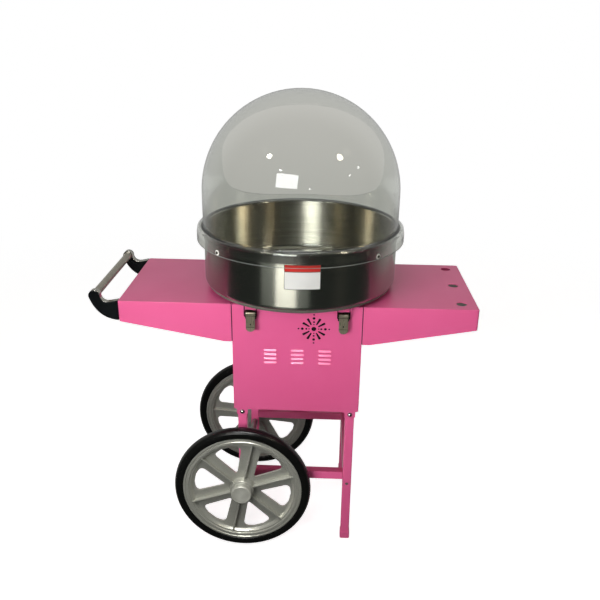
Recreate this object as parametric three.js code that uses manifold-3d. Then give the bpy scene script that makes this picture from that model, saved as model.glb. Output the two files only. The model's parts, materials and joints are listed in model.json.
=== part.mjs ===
// Electric candy floss machine on a two-wheeled push cart.
// Millimetres, +Z up. X runs along the cart, with the handle and the wheels at its low end.
// The louvred side of the cabinet faces -Y, and the operator's side, with the drawer, faces +Y.
import * as THREE from "three";
import { mergeVertices } from "three/addons/utils/BufferGeometryUtils.js";
import Module from "manifold-3d";

const wasm = await Module();
wasm.setup();

// Stock and clearances
const sheet = 1.5; // folded steel sheet of the cabinet and the shelves
const gap = 0.3; // between pieces that touch
const flangeDepth = 8; // folded edges inside the cabinet
const bendRadius = 3;
const holeCorner = 3; // corners of square holes in the sheet
const past = 10; // how far a cutting tool reaches past an open side
const weldDistance = 1e-4;

// Cabinet
const cabinetWidth = 340;
const cabinetDepth = 350;
const cabinetHeight = 310;
const legHeight = 429; // floor to the underside of the cabinet
const faceCornerRadius = 8;
const earWidth = 30;
const earHeight = 20;
const earChamfer = 5;

// Vent and louvres of the front panel
const ventX = 44;
const ventDrop = 65; // below the cabinet's top
const ventHoleRadius = 6.25;
const ventSlotInner = 13;
const ventSlotOuter = 33;
const ventSlotInnerWidth = 2.6;
const ventSlotOuterWidth = 5.4;
const ventSlotRound = 2.2;
const ventSlotLeans = [30, 60]; // degrees in each quarter
const ventDots = [[12.5, 1.5], [19.5, 2.4], [30, 3.4], [40, 2]]; // distance from the middle, radius
const louvreColumns = [-70, 2, 74];
const louvreRows = 4;
const louvrePitch = 12;
const louvreTopDrop = 129;
const louvreWidth = 35;
const louvreHeight = 6;
const louvreDepth = 4;
const louvreWall = 1.2;
const louvreRoof = 1.9;

// Shelves
const shelfReach = 296; // from the cabinet's side
const shelfDepth = 351;
const shelfRootDepth = 107;
const shelfEndDepth = 57;
const shelfFlatRun = 20;
const shelfCornerRadius = 6;
const coneHoleRadius = 13.5;
const coneHoleSpacing = 137.5;
const coneHoleInset = 40;

// Legs and lower bars, all square tube
const tubeSize = 25;
const tubeWall = 1.5;
const tubeCorner = 3;
const legInset = 23; // leg centre inside the cabinet's side
const wheelLegEnd = 157; // lower end of the two legs that carry the wheels
const footSize = 28;
const footHeight = 22;
const footSole = 3;
const barTop = 230;
const barInset = 2;
const legBoltRadius = 3;
const legBoltHead = 5;
const legBoltRise = 3.3;
const legBoltDrop = 8; // below the cabinet's underside

// Wheels and axle
const tyreRadius = 192;
const tyreWidth = 36;
const tyreSide = [[0.3, 1], [0.8, 0.76], [1, 0.24]]; // shares of its height and half width
const wheelPlane = 203; // distance of the wheels' middle from the cart's middle
const rimRadius = 166.6;
const rimSeatRadius = 160.5;
const rimBoreRadius = 146;
const rimHalfWidth = 15;
const rimFlange = 3.5;
const webHalf = 3;
const ribHalf = 12;
const ribThickness = 4.6;
const ribRoot = 28;
const ribEnd = 149;
const spokeCount = 6;
const spokeRootHalf = 20; // half width of a spoke beside the hub
const spokeTipHalf = 30; // half width of a spoke at the outer end of the windows
const windowInner = 50;
const windowOuter = 133;
const windowCorner = 11;
const windowBulge = 4;
const hubRadius = 33;
const hubFace = 20; // outer face of the hub from the wheel's middle
const hubNeckRadius = 23;
const hubTailRadius = 11;
const capRadius = 28.5;
const capHeight = 19;
const capWall = 2.5;
const capEdge = 3;
const stubRadius = 4.1;
const axleBore = 4.5;
const axleTubeRadius = 9;
const axleNutRadius = 8;
const axleNutHeight = 6.5;
const axleStubEnd = 9; // beyond the hub's face
const frontWheelTurn = 18.6; // degrees
const rearWheelTurn = 4;

// Push handle
const handleReach = 75; // beyond the shelf's end
const handleTipRadius = 14.5;
const handleBarHeight = 751;
const handleBarRadius = 10.5;
const handleArmFoot = 2.5; // lower edge of an arm above the shelf's lower edge
const handleArmThickness = 15.7;
const handleCoverThickness = 4.5;
const handleBoltRadius = 3.5;
const handleBoltEnd = 6.5;
const handleNutRadius = 6.5;
const handleNutHeight = 5;
const handleTopRun = 22.7; // flat upper edge of an arm, and how far it lies below the shelf's top
const handleTopDrop = 5.2;
const handleTipSpread = 43; // degrees from the arm's line to where its lower edge meets the tip
const handleTipArc = 200; // degrees of the round tip
const handleLowerBend = [0.453, 0.3425]; // how an edge curves: shares of its chord, along and across
const handleUpperBend = [0.47, -0.4565];

// Bowl
const bowlRadius = 260;
const bowlRaise = 16; // underside above the cabinet's top
const bowlHeight = 149; // underside to the middle of the rolled rim
const bowlSheet = 1.2;
const bowlCorner = 14;
const rimBead = 4;
const rimBeadStart = -134; // degrees
const bowlHoleRadius = 34;
const bowlCollar = 11;
const seatRingRadius = 112;
const seatRingWall = 12;

// Dome
const domeRadius = 262;
const domeWall = 3;
const domeStraight = 81; // height of the straight wall above the shoulder
const domeLipRadius = 279;
const domeLipDrop = 33; // lip's lower edge under the rim's top
const domeLipStraight = 15;
const domeLedge = 8.2; // flat ring beyond the bowl, over the rim
const domeShoulderRise = 5;
const openingHalfWidth = 230;
const openingMiddle = 1050; // height of its widest place
const openingRise = 153;
const openingFall = 120;
const openingStart = 30; // the cut begins this far behind the dome's middle
const openingTopPower = 2.3;
const openingBottomPower = 4.2;

// Latches
const latchX = 120;
const latchPinDrop = 22; // pivot under the cabinet's top
const latchPinOut = 9; // pivot in front of the cabinet's face
const leverWidth = 23.5;
const leverLength = 53;
const leverBend = 39;
const leverTilt = 12; // degrees
const leverSheet = 1.5;
const knuckleRadius = 4;
const latchPinRadius = 2;
const bailDrop = 8; // bail pivot under the lever's pivot
const bailRadius = 1.4;
const bailHalfWidth = 15.6;
const bailBend = 3;
const tabCorner = 9;
const cheekEdge = 4;
const leverHoleRadius = 2;
const leverHoleRise = 7; // above the bend
const latchPlateHeight = 31;
const latchPlateRise = 7; // above the pivot
const latchPlateLap = 3;
const latchEarRadius = 4;
const catchWidth = 20;
const catchRise = 4.6; // hook's seat above the cabinet's top
const catchSheet = 1.5;
const catchBack = 3;
const catchLip = 2.6;

// Motor and spinner
const motorRadius = 43;
const motorLength = 92;
const bracketDrop = 43; // bracket's underside below the cabinet's top plate
const bracketWidth = 190;
const bracketDepth = 70;
const bracketSheet = 2;
const bracketFoot = 26;
const motorShoulder = 12;
const motorEndRadius = 36.5;
const motorNeckRadius = 25.8;
const shaftSocket = 20; // depth of the bore in the motor
const shaftRadius = 5;
const shaftBore = 5.4;
const slipRingRadius = 15;
const slipRingLength = 20;
const slipRingRise = 10; // above the bracket's underside
const brushArm = 12;
const brushArmHalf = 4;
const brushHalf = 2;
const brushPost = 12;
const brushPostHalf = 10;
const shaftFlangeReach = 7;
const shaftFlange = 4;
const shaftNutReach = 3;
const shaftNut = 6;
const spinnerRadius = 62;
const spinnerFloor = 20; // base above the bowl's underside
const spinnerBandHeight = 22;
const spinnerSheet = 1.5;
const spinnerCorner = 4;
const spinnerLip = 7; // height of the base's turned-up edge
const spinnerSlots = 12;
const spinnerSlotWidth = 5;
const spinnerSlotEdge = 4;
const heaterRadius = 50;
const heaterWidth = 7;
const heaterRaise = 9;
const heaterPostRadius = 2.5;
const sugarTubeRadius = 14;
const sugarTubeFoot = 3; // above the base's floor

// Operator's side
const panelWidth = 196;
const panelHeight = 94;
const panelTopDrop = 23;
const panelLap = 12;
const panelCorner = 5;
const meterX = -52;
const meterRadius = 22.5;
const meterBezel = 26;
const meterDepth = 28;
const meterRise = 3.5;
const meterWall = 2.5;
const needleLength = 23; // beyond its pivot
const needleTail = 4;
const needleSheet = 0.8;
const needleHubRadius = 2.6;
const needleDrop = 10; // pivot below the meter's middle
const switchXs = { power: 20, heat: 62 };
const switchWidth = 26;
const switchHeight = 34;
const switchDepth = 24;
const switchLap = 1.5;
const switchRim = 2.5;
const rockerWell = 13;
const rockerEndGap = 1.6;
const rockerPivotDepth = 7;
const rockerBack = [3, 5]; // depth and half height behind the pivot
const rockerFront = [5, 6.2, 8]; // front of the shoulders, the middle and the ends before the pivot
const rockerHalfWidth = 8.2;
const rockerHalfLength = 11.5;
const rockerTilt = 8; // degrees each way
const drawerWidth = 218;
const drawerLength = 280;
const drawerHeight = 90;
const drawerWall = 1.2;
const drawerRaise = 28; // drawer's floor above the cabinet's underside
const drawerLap = 11;
const drawerFront = 2;
const drawerHoleGap = 2;
const railFoot = 16;
const railLedge = 11;
const railGuide = 20;
const railSetBack = 10;
const pullHalfWidth = 45;
const pullReach = 22;
const pullRadius = 4;
const pullBend = 5;
const glandX = 145;
const glandZ = 41; // above the cabinet's underside
const glandRadius = 9;
const glandRise = 4;
const glandTail = 8;
const glandBore = 4;

// Facets round a full turn
const wideFacets = 28; // bowl, dome, tyres and rims
const spinnerFacets = 20;
const middleFacets = 16;
const smallFacets = 8;
const boltFacets = 6;
const curveSteps = 6; // along a curved edge of an outline
const domeSteps = 6; // rings of facets from the dome's straight wall to its crown

// Places that follow from the sizes
const cabinetTop = legHeight + cabinetHeight;
const halfWidth = cabinetWidth / 2;
const halfDepth = cabinetDepth / 2;
const shellTop = cabinetTop - sheet - gap;
const shelfEnd = halfWidth + shelfReach;
const legX = halfWidth - legInset;
const legFace = halfDepth - sheet - gap; // outer face of a leg
const legY = legFace - tubeSize / 2;
const bowlBase = cabinetTop + bowlRaise;
const rimZ = bowlBase + bowlHeight;
const rimTop = rimZ + rimBead;
const handleX = shelfEnd + handleReach - handleTipRadius;
const armY = shelfDepth / 2 - handleCoverThickness - gap - handleArmThickness / 2;
const armZ = cabinetTop - shelfEndDepth / 2;
const latchPinZ = cabinetTop - latchPinDrop;
const bailTopZ = cabinetTop + catchRise + bailRadius + gap;
const bailTopOut = latchPinOut - 2;
const spinnerZ = bowlBase + spinnerFloor;
const panelTop = cabinetTop - panelTopDrop;
const controlZ = panelTop - panelHeight / 2;
const panelFace = halfDepth + gap + sheet;
const drawerZ = legHeight + drawerRaise;
const legBoltZ = legHeight - legBoltDrop;
const radians = THREE.MathUtils.degToRad;

// Finishes
function finish(color, roughness, metalness) {
  return new THREE.MeshStandardMaterial({ color, roughness, metalness });
}
const pinkPaint = finish("#ee5f97", 0.42, 0.05);
const steel = finish("#8d8a80", 0.32, 1);
const darkSteel = finish("#4b4842", 0.4, 1);
const chrome = finish("#c9c6c0", 0.12, 1);
const castAlloy = finish("#8c8c84", 0.45, 0.9);
const tyreRubber = finish("#101010", 0.85, 0);
const blackPlastic = finish("#10151a", 0.5, 0);
const greenPlastic = finish("#1f8f4a", 0.35, 0);
const redPlastic = finish("#b3201c", 0.35, 0);
const whitePlastic = finish("#e9e7df", 0.5, 0);
const brass = finish("#b08a3c", 0.35, 1);
const motorPaint = finish("#3b3d40", 0.5, 0.6);
const clearAcrylic = new THREE.MeshStandardMaterial({
  color: "#f2f4f4", roughness: 0.05, metalness: 0, transparent: true, opacity: 0.25,
});

// Closed geometry to a solid for joining and cutting, and back
function solidOf(geometry) {
  const bare = geometry.index ? geometry.toNonIndexed() : geometry.clone();
  bare.deleteAttribute("normal");
  bare.deleteAttribute("uv");
  const merged = mergeVertices(bare, weldDistance);
  const corners = merged.index.array;
  const faces = [];
  for (let i = 0; i < corners.length; i += 3) {
    const [a, b, c] = corners.slice(i, i + 3);
    if (a !== b && b !== c && c !== a) faces.push(a, b, c);
  }
  const build = (triangles) =>
    new wasm.Manifold(
      new wasm.Mesh({
        numProp: 3,
        vertProperties: new Float32Array(merged.attributes.position.array),
        triVerts: new Uint32Array(triangles),
      }),
    );
  const made = build(faces);
  return made.volume() > 0 ? made : build(faces.reverse());
}

function geometryOf(solid) {
  const mesh = solid.getMesh();
  const geometry = new THREE.BufferGeometry();
  geometry.setAttribute("position", new THREE.BufferAttribute(mesh.vertProperties, 3));
  geometry.setIndex(new THREE.BufferAttribute(mesh.triVerts, 1));
  return geometry;
}

function join(first, ...others) {
  return geometryOf(others.reduce((sum, part) => sum.add(solidOf(part)), solidOf(first)));
}

function cut(first, ...tools) {
  return geometryOf(tools.reduce((rest, tool) => rest.subtract(solidOf(tool)), solidOf(first)));
}

function common(first, second) {
  return geometryOf(solidOf(first).intersect(solidOf(second)));
}

// Basic forms
function block(x0, x1, y0, y1, z0, z1) {
  const box = new THREE.BoxGeometry(x1 - x0, y1 - y0, z1 - z0);
  return box.translate((x0 + x1) / 2, (y0 + y1) / 2, (z0 + z1) / 2);
}

// Revolved about Z from points [radius, height]; a profile off the axis is closed on itself
function turned(profile, segments) {
  const points = profile.map(([radius, height]) => new THREE.Vector2(radius, height));
  if (profile[0][0] > 0) points.push(points[0].clone());
  return new THREE.LatheGeometry(points, segments).rotateX(Math.PI / 2);
}

function rodZ(radius, z0, z1, segments = smallFacets) {
  return turned([[0, z0], [radius, z0], [radius, z1], [0, z1]], segments);
}

const rodX = (radius, x0, x1, segments) => rodZ(radius, x0, x1, segments).rotateY(Math.PI / 2);
const rodY = (radius, y0, y1, segments) => rodZ(radius, -y1, -y0, segments).rotateX(Math.PI / 2);

// Tools for round holes: their flats, not their corners, lie at the radius
const around = (radius, segments) => radius / Math.cos(Math.PI / segments);
const holeZ = (radius, z0, z1, segments = smallFacets) => rodZ(around(radius, segments), z0, z1, segments);
const holeX = (radius, x0, x1, segments = smallFacets) => rodX(around(radius, segments), x0, x1, segments);
const holeY = (radius, y0, y1, segments = smallFacets) => rodY(around(radius, segments), y0, y1, segments);

// Outline of straight lines whose corners are rounded by the radii given
function roundedOutline(points, radii) {
  const shape = new THREE.Shape();
  const corners = points.map(([x, y]) => new THREE.Vector2(x, y));
  corners.forEach((corner, i) => {
    const radius = Array.isArray(radii) ? radii[i] : radii;
    const before = corners[(i + corners.length - 1) % corners.length].clone().sub(corner);
    const after = corners[(i + 1) % corners.length].clone().sub(corner);
    const angle = Math.acos(before.dot(after) / (before.length() * after.length()));
    const reach = radius / Math.tan(angle / 2);
    const enter = corner.clone().add(before.setLength(reach));
    const leave = corner.clone().add(after.setLength(reach));
    if (i === 0) shape.moveTo(enter.x, enter.y);
    else shape.lineTo(enter.x, enter.y);
    if (radius > 0) shape.quadraticCurveTo(corner.x, corner.y, leave.x, leave.y);
  });
  shape.closePath();
  return shape;
}

function rectangle(x0, x1, y0, y1, radius = 0) {
  return roundedOutline([[x0, y0], [x1, y0], [x1, y1], [x0, y1]], radius);
}

// Outline extruded along each axis: the shape is drawn in XY, XZ or YZ
function extrudedZ(shape, z0, z1, curveSegments = 2) {
  const settings = { depth: z1 - z0, bevelEnabled: false, curveSegments };
  return new THREE.ExtrudeGeometry(shape, settings).translate(0, 0, z0);
}

function extrudedY(shape, y0, y1, curveSegments) {
  return extrudedZ(shape, -y1, -y0, curveSegments).rotateX(Math.PI / 2);
}

function extrudedX(shape, x0, x1, curveSegments) {
  const turn = new THREE.Matrix4().makeBasis(
    new THREE.Vector3(0, 1, 0), new THREE.Vector3(0, 0, 1), new THREE.Vector3(1, 0, 0),
  );
  return extrudedZ(shape, x0, x1, curveSegments).applyMatrix4(turn);
}

// Wire bent through points, with mitred corners; no wire here starts along the askew direction
const askew = new THREE.Vector3(1, 2, 3);

function bentWire(points, radius, sides) {
  const stations = points.map((point) => new THREE.Vector3(...point));
  const ways = stations.slice(1).map((point, i) => point.clone().sub(stations[i]).normalize());
  const side = askew.clone().cross(ways[0]).normalize();
  const up = ways[0].clone().cross(side);
  let ring = [];
  for (let i = 0; i < sides; i += 1) {
    const turn = (2 * Math.PI * (i + 0.5)) / sides;
    ring.push(stations[0].clone().addScaledVector(side, radius * Math.cos(turn))
      .addScaledVector(up, radius * Math.sin(turn)));
  }
  const rings = [ring];
  ways.forEach((way, i) => {
    const normal = i + 1 < ways.length ? way.clone().add(ways[i + 1]).normalize() : way;
    ring = ring.map((point) => {
      const run = stations[i + 1].clone().sub(point).dot(normal) / way.dot(normal);
      return point.clone().addScaledVector(way, run);
    });
    rings.push(ring);
  });
  const vertices = rings.flat();
  const faces = [];
  for (let row = 0; row + 1 < rings.length; row += 1) {
    for (let i = 0; i < sides; i += 1) {
      const next = (i + 1) % sides;
      const [a, b] = [row * sides + i, row * sides + next];
      faces.push(a, b, b + sides, a, b + sides, a + sides);
    }
  }
  const last = (rings.length - 1) * sides;
  for (let i = 1; i + 1 < sides; i += 1) {
    faces.push(0, i + 1, i);
    faces.push(last, last + i, last + i + 1);
  }
  const geometry = new THREE.BufferGeometry().setFromPoints(vertices);
  geometry.setIndex(faces);
  return geometry;
}

// Scene graph
const machine = new THREE.Group();
machine.position.x = handleReach / 2; // puts the middle of the whole length over the origin

function add(name, geometry, material, parent = machine) {
  const mesh = new THREE.Mesh(geometryOf(solidOf(geometry)), material);
  mesh.geometry.computeVertexNormals();
  mesh.name = name;
  parent.add(mesh);
  return mesh;
}

const ends = [["left", -1], ["right", 1]];
const faces = [["front", -1], ["rear", 1]];

// Ears that hang from the cabinet's lower edge and take the leg bolts
function ear(x, y0, y1) {
  const half = earWidth / 2;
  const low = legHeight - earHeight;
  const outline = roundedOutline(
    [
      [x - half, legHeight + sheet], [x - half, low + earChamfer], [x - half + earChamfer, low],
      [x + half - earChamfer, low], [x + half, low + earChamfer], [x + half, legHeight + sheet],
    ],
    0,
  );
  return extrudedY(outline, y0, y1);
}

function withEars(plate, y0, y1) {
  const joined = join(plate, ear(-legX, y0, y1), ear(legX, y0, y1));
  const hole = (x) => holeY(legBoltRadius + gap, y0 - 1, y1 + 1, boltFacets).translate(x, 0, legBoltZ);
  return cut(joined, hole(-legX), hole(legX));
}

// One pressed louvre: a hood that leans out, open underneath
function louvreHood(x, z) {
  const face = -halfDepth;
  const low = z - louvreHeight / 2;
  const outline = roundedOutline(
    [[face + sheet / 2, z + louvreHeight / 2], [face - louvreDepth, low], [face + sheet / 2, low]], 0,
  );
  return extrudedX(outline, x - louvreWidth / 2, x + louvreWidth / 2);
}

function louvreHollow(x, z) {
  const face = -halfDepth;
  const [low, high, wall] = [z - louvreHeight / 2 - 1, z + louvreHeight / 2, louvreWall];
  const outline = roundedOutline(
    [
      [face + sheet + 1, high - wall], [face, high - louvreRoof],
      [face - louvreDepth + wall, low], [face + sheet + 1, low],
    ],
    0,
  );
  return extrudedX(outline, x - louvreWidth / 2 + wall, x + louvreWidth / 2 - wall);
}

// Radial vent: eight tapered slots in four pairs, with four rows of round holes between them
function ventCuts() {
  const [y0, y1] = [-halfDepth - 1, -halfDepth + sheet + 1];
  const z = cabinetTop - ventDrop;
  const cuts = [rodY(ventHoleRadius, y0, y1, smallFacets)];
  const slot = [
    [ventSlotInner, -ventSlotInnerWidth / 2], [ventSlotOuter, -ventSlotOuterWidth / 2],
    [ventSlotOuter, ventSlotOuterWidth / 2], [ventSlotInner, ventSlotInnerWidth / 2],
  ];
  for (let quarter = 0; quarter < 4; quarter += 1) {
    for (const lean of ventSlotLeans) {
      const tool = extrudedY(roundedOutline(slot, [0, ventSlotRound, ventSlotRound, 0]), y0, y1, 2);
      cuts.push(tool.rotateY(-radians(quarter * 90 + lean)));
    }
    for (const [distance, radius] of ventDots) {
      cuts.push(rodY(radius, y0, y1, boltFacets).translate(distance, 0, 0).rotateY(radians(quarter * 90)));
    }
  }
  return cuts.map((tool) => tool.translate(ventX, 0, z));
}

function frontPanel() {
  const [y0, y1] = [-halfDepth, -halfDepth + sheet];
  const radii = [faceCornerRadius, faceCornerRadius, 0, 0];
  const outline = roundedOutline(
    [[-halfWidth, legHeight], [halfWidth, legHeight], [halfWidth, shellTop], [-halfWidth, shellTop]],
    radii,
  );
  let panel = withEars(extrudedY(outline, y0, y1), y0, y1);
  const inner = halfWidth - sheet - gap;
  const [low, high] = [legHeight + flangeDepth + 3, cabinetTop - flangeDepth - 3];
  for (const [, side] of ends) {
    const [x0, x1] = [side * inner, side * (inner - sheet)].sort((a, b) => a - b);
    panel = join(panel, block(x0, x1, y0 + sheet / 2, y0 + sheet + flangeDepth, low, high));
  }
  const spots = [];
  for (const x of louvreColumns) {
    for (let row = 0; row < louvreRows; row += 1) {
      spots.push([x, cabinetTop - louvreTopDrop - row * louvrePitch]);
    }
  }
  panel = join(panel, ...spots.map(([x, z]) => louvreHood(x, z)));
  return cut(panel, ...spots.map(([x, z]) => louvreHollow(x, z)), ...ventCuts());
}

// Sides and rear in one folded sheet, open to the front where the panel closes it
function cabinetShell() {
  const outer = rectangle(-halfWidth, halfWidth, -halfDepth, halfDepth, bendRadius);
  const inner = rectangle(
    -halfWidth + sheet, halfWidth - sheet, -halfDepth - past, halfDepth - sheet, bendRadius - sheet,
  );
  let shell = cut(
    extrudedZ(outer, legHeight, shellTop),
    extrudedZ(inner, legHeight - 1, shellTop + 1),
    block(-halfWidth - 1, halfWidth + 1, -halfDepth - past, -legFace, legHeight - 1, shellTop + 1),
  );
  shell = withEars(shell, halfDepth - sheet, halfDepth);
  const through = [halfDepth - sheet - 1, halfDepth + 1];
  const [holeHalf, slack] = [drawerWidth / 2 + drawerHoleGap, drawerHoleGap];
  const drawerHole = rectangle(
    -holeHalf, holeHalf, drawerZ - slack, drawerZ + drawerHeight + slack, holeCorner,
  );
  const panelHole = rectangle(
    -panelWidth / 2 + panelLap, panelWidth / 2 - panelLap,
    panelTop - panelHeight + panelLap, panelTop - panelLap, holeCorner,
  );
  const glandHole = holeY(glandRadius - 2 + gap, ...through);
  return cut(
    shell,
    extrudedY(drawerHole, ...through),
    extrudedY(panelHole, ...through),
    glandHole.translate(glandX, 0, legHeight + glandZ),
  );
}

function topPlate() {
  const plate = rectangle(-halfWidth, halfWidth, -halfDepth, halfDepth, bendRadius);
  const [x, y] = [halfWidth - sheet - gap, halfDepth - sheet - gap];
  const low = cabinetTop - sheet - flangeDepth;
  const skirt = cut(
    extrudedZ(rectangle(-x, x, -y, y, bendRadius), low, cabinetTop - sheet / 2),
    extrudedZ(rectangle(-x + sheet, x - sheet, -y + sheet, y - sheet, 1), low - 1, cabinetTop),
  );
  const whole = join(extrudedZ(plate, cabinetTop - sheet, cabinetTop), skirt);
  return cut(whole, rodZ(bowlHoleRadius, low, cabinetTop + 1, middleFacets));
}

function floorTray() {
  const [x, y] = [halfWidth - sheet - gap, halfDepth - sheet - gap];
  const top = legHeight + flangeDepth;
  return cut(
    extrudedZ(rectangle(-x, x, -y, y, bendRadius), legHeight, top),
    extrudedZ(rectangle(-x + sheet, x - sheet, -y + sheet, y - sheet, 1), legHeight + sheet, top + 1),
  );
}

// Folded tray shelf: a top with aprons that rise towards the outer end
function shelf(side) {
  const half = shelfDepth / 2;
  const profile = roundedOutline(
    [
      [halfWidth + gap, cabinetTop], [shelfEnd, cabinetTop], [shelfEnd, cabinetTop - shelfEndDepth],
      [halfWidth + shelfFlatRun, cabinetTop - shelfRootDepth],
      [halfWidth + gap, cabinetTop - shelfRootDepth],
    ],
    0,
  );
  const low = cabinetTop - shelfRootDepth - 1;
  const corners = [0, shelfCornerRadius, shelfCornerRadius, 0];
  const plan = (inset, radii) => roundedOutline(
    [
      [halfWidth + gap + inset, -half + inset], [shelfEnd - inset, -half + inset],
      [shelfEnd - inset, half - inset], [halfWidth + gap + inset, half - inset],
    ],
    radii,
  );
  const body = common(extrudedY(profile, -half, half), extrudedZ(plan(0, corners), low, cabinetTop + 1));
  const inner = corners.map((radius) => Math.max(radius - sheet, 0));
  const tray = cut(body, extrudedZ(plan(sheet, inner), low, cabinetTop - sheet));
  return side > 0 ? tray : tray.rotateZ(Math.PI);
}

function coneShelf() {
  const holes = [-1, 0, 1].map((place) =>
    rodZ(coneHoleRadius, cabinetTop - sheet - 1, cabinetTop + 1, middleFacets)
      .translate(shelfEnd - coneHoleInset, place * coneHoleSpacing, 0));
  return cut(shelf(1), ...holes);
}

function handleShelf() {
  const holes = [-1, 1].map((side) =>
    holeX(handleBoltRadius + gap, -shelfEnd - 1, -shelfEnd + sheet + 1, boltFacets)
      .translate(0, side * armY, armZ));
  return cut(shelf(-1), ...holes);
}

// Square tube along Z about the axis, from z0 to z1, open at both ends
function squareTube(z0, z1) {
  const [outer, inner] = [tubeSize / 2, tubeSize / 2 - tubeWall];
  return cut(
    extrudedZ(rectangle(-outer, outer, -outer, outer, tubeCorner), z0, z1, 2),
    extrudedZ(rectangle(-inner, inner, -inner, inner, tubeCorner - tubeWall), z0 - 1, z1 + 1, 1),
  );
}

// A leg with its cabinet bolt, whose shank passes through the ear; the front leg of a pair faces -Y
function leg(side, end) {
  const base = end < 0 ? wheelLegEnd : 0;
  const top = legHeight - gap;
  let body = squareTube(base, top);
  if (end > 0) {
    const [foot, inner] = [footSize / 2, tubeSize / 2 - tubeWall];
    body = join(
      squareTube(footSole, top),
      cut(
        extrudedZ(rectangle(-foot, foot, -foot, foot, tubeCorner), 0, footHeight, 2),
        extrudedZ(rectangle(-inner, inner, -inner, inner, 1), footSole, footHeight + 1, 1),
      ),
    );
  }
  const across = tubeSize / 2 + 1;
  body = cut(body, holeY(stubRadius + gap, -across, across, boltFacets).translate(0, 0, tyreRadius));
  const head = -tubeSize / 2 - sheet - 2 * gap;
  const bolt = join(
    rodY(legBoltRadius, head - 1, -tubeSize / 2 + 0.5, boltFacets),
    turned(
      [[0, 0], [legBoltHead, 0], [legBoltHead - 1, legBoltRise * 0.6], [0, legBoltRise]], boltFacets,
    )
      .rotateX(Math.PI / 2).translate(0, head, 0),
  );
  body = join(body, bolt.translate(0, 0, legBoltZ));
  if (side > 0) body.rotateZ(Math.PI);
  return body.translate(end * legX, side * legY, 0);
}

function lowerBars() {
  const z = barTop - tubeSize / 2;
  const length = legX - tubeSize / 2 - gap;
  const along = (half) => squareTube(-half, half);
  for (const [face, side] of faces) {
    const bar = along(length).rotateY(Math.PI / 2).translate(0, side * (legY - barInset), z);
    add(face + "_lower_bar", bar, pinkPaint);
  }
  const sideBar = along(legY - tubeSize / 2 - gap).rotateX(Math.PI / 2).translate(legX, 0, z);
  add("side_lower_bar", sideBar, pinkPaint);
}

// Axle: a tube between the legs and a threaded stub with its nut at each end
function axle() {
  const inside = legY - tubeSize / 2 - gap;
  const nut = wheelPlane + hubFace + gap;
  const end = wheelPlane + hubFace + axleStubEnd;
  const pieces = [rodY(axleTubeRadius, -inside, inside), rodY(stubRadius, -end, end)];
  for (const [, side] of faces) {
    const [y0, y1] = [side * nut, side * (nut + axleNutHeight)].sort((a, b) => a - b);
    pieces.push(rodY(axleNutRadius, y0, y1, boltFacets));
  }
  return join(...pieces).translate(-legX, 0, tyreRadius);
}

// Wheel parts, built about Z with the outer side at +Z
function tyre() {
  const seat = rimHalfWidth - rimFlange - gap;
  const half = tyreWidth / 2;
  const crown = tyreRadius - rimRadius;
  const side = [
    [rimSeatRadius + gap, seat], [rimRadius + 2 * gap, seat],
    ...tyreSide.map(([rise, width]) => [rimRadius + rise * crown, half * width]),
  ];
  const mirrored = side.map(([radius, height]) => [radius, -height]).reverse();
  return turned([...side, ...mirrored], wideFacets);
}

// Opening between two spokes: an apex near the hub and two corners at the ring
function spokeWindow(index) {
  const lean = radians(180 / spokeCount);
  const reach = (radius, halfSpoke) => lean - Math.asin(halfSpoke / radius);
  const at = (radius, angle) => [radius * Math.cos(angle), radius * Math.sin(angle)];
  const root = Math.max(reach(windowInner, spokeRootHalf), radians(1));
  const tip = reach(windowOuter, spokeTipHalf);
  const outline = roundedOutline(
    [
      at(windowInner, -root), at(windowOuter, -tip), at(windowOuter + windowBulge, -tip / 3),
      at(windowOuter + windowBulge, tip / 3), at(windowOuter, tip), at(windowInner, root),
    ],
    [0, windowCorner, 0, 0, windowCorner, 0],
  );
  const tool = extrudedZ(outline, -webHalf - 1, webHalf + 1, 2);
  return tool.rotateZ(radians(((index + 0.5) * 360) / spokeCount));
}

function wheelRim(turn) {
  const [half, seatHalf] = [rimHalfWidth, rimHalfWidth - rimFlange];
  const ring = turned(
    [
      [rimBoreRadius, -half], [rimRadius, -half],
      [rimRadius, -seatHalf], [rimSeatRadius, -seatHalf], [rimSeatRadius, seatHalf],
      [rimRadius, seatHalf], [rimRadius, half], [rimBoreRadius, half],
    ],
    wideFacets,
  );
  const web = turned(
    [
      [axleBore, -webHalf], [rimBoreRadius + 2, -webHalf], [rimBoreRadius + 2, webHalf],
      [axleBore, webHalf],
    ],
    wideFacets,
  );
  const windows = Array.from({ length: spokeCount }, (_, index) =>
    spokeWindow(index).rotateZ(radians(turn)));
  const inboard = -(wheelPlane - legFace - gap);
  const hub = turned(
    [
      [axleBore, inboard], [hubTailRadius, inboard], [hubNeckRadius, -ribHalf - 2],
      [hubRadius, -ribHalf], [hubRadius + 2, webHalf], [hubRadius - 1, hubFace], [axleBore, hubFace],
    ],
    middleFacets,
  );
  const rib = (index) => {
    const blade = block(ribRoot, ribEnd, -ribThickness / 2, ribThickness / 2, -ribHalf, ribHalf);
    return blade.rotateZ(radians((index * 360) / spokeCount + turn));
  };
  const ribs = Array.from({ length: spokeCount }, (_, index) => rib(index));
  const whole = join(ring, cut(web, ...windows), hub, ...ribs);
  return cut(whole, holeZ(axleBore, inboard - 1, hubFace + 1, middleFacets));
}

function hubCap() {
  const [low, high] = [hubFace + gap, hubFace + gap + capHeight];
  return turned(
    [
      [capRadius, low], [capRadius, high - capEdge], [capRadius - capEdge, high], [0, high],
      [0, high - capWall], [capRadius - capEdge - capWall / 2, high - capWall],
      [capRadius - capWall, high - capEdge - capWall / 2], [capRadius - capWall, low],
      [capRadius, low],
    ].reverse(),
    middleFacets,
  );
}

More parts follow.
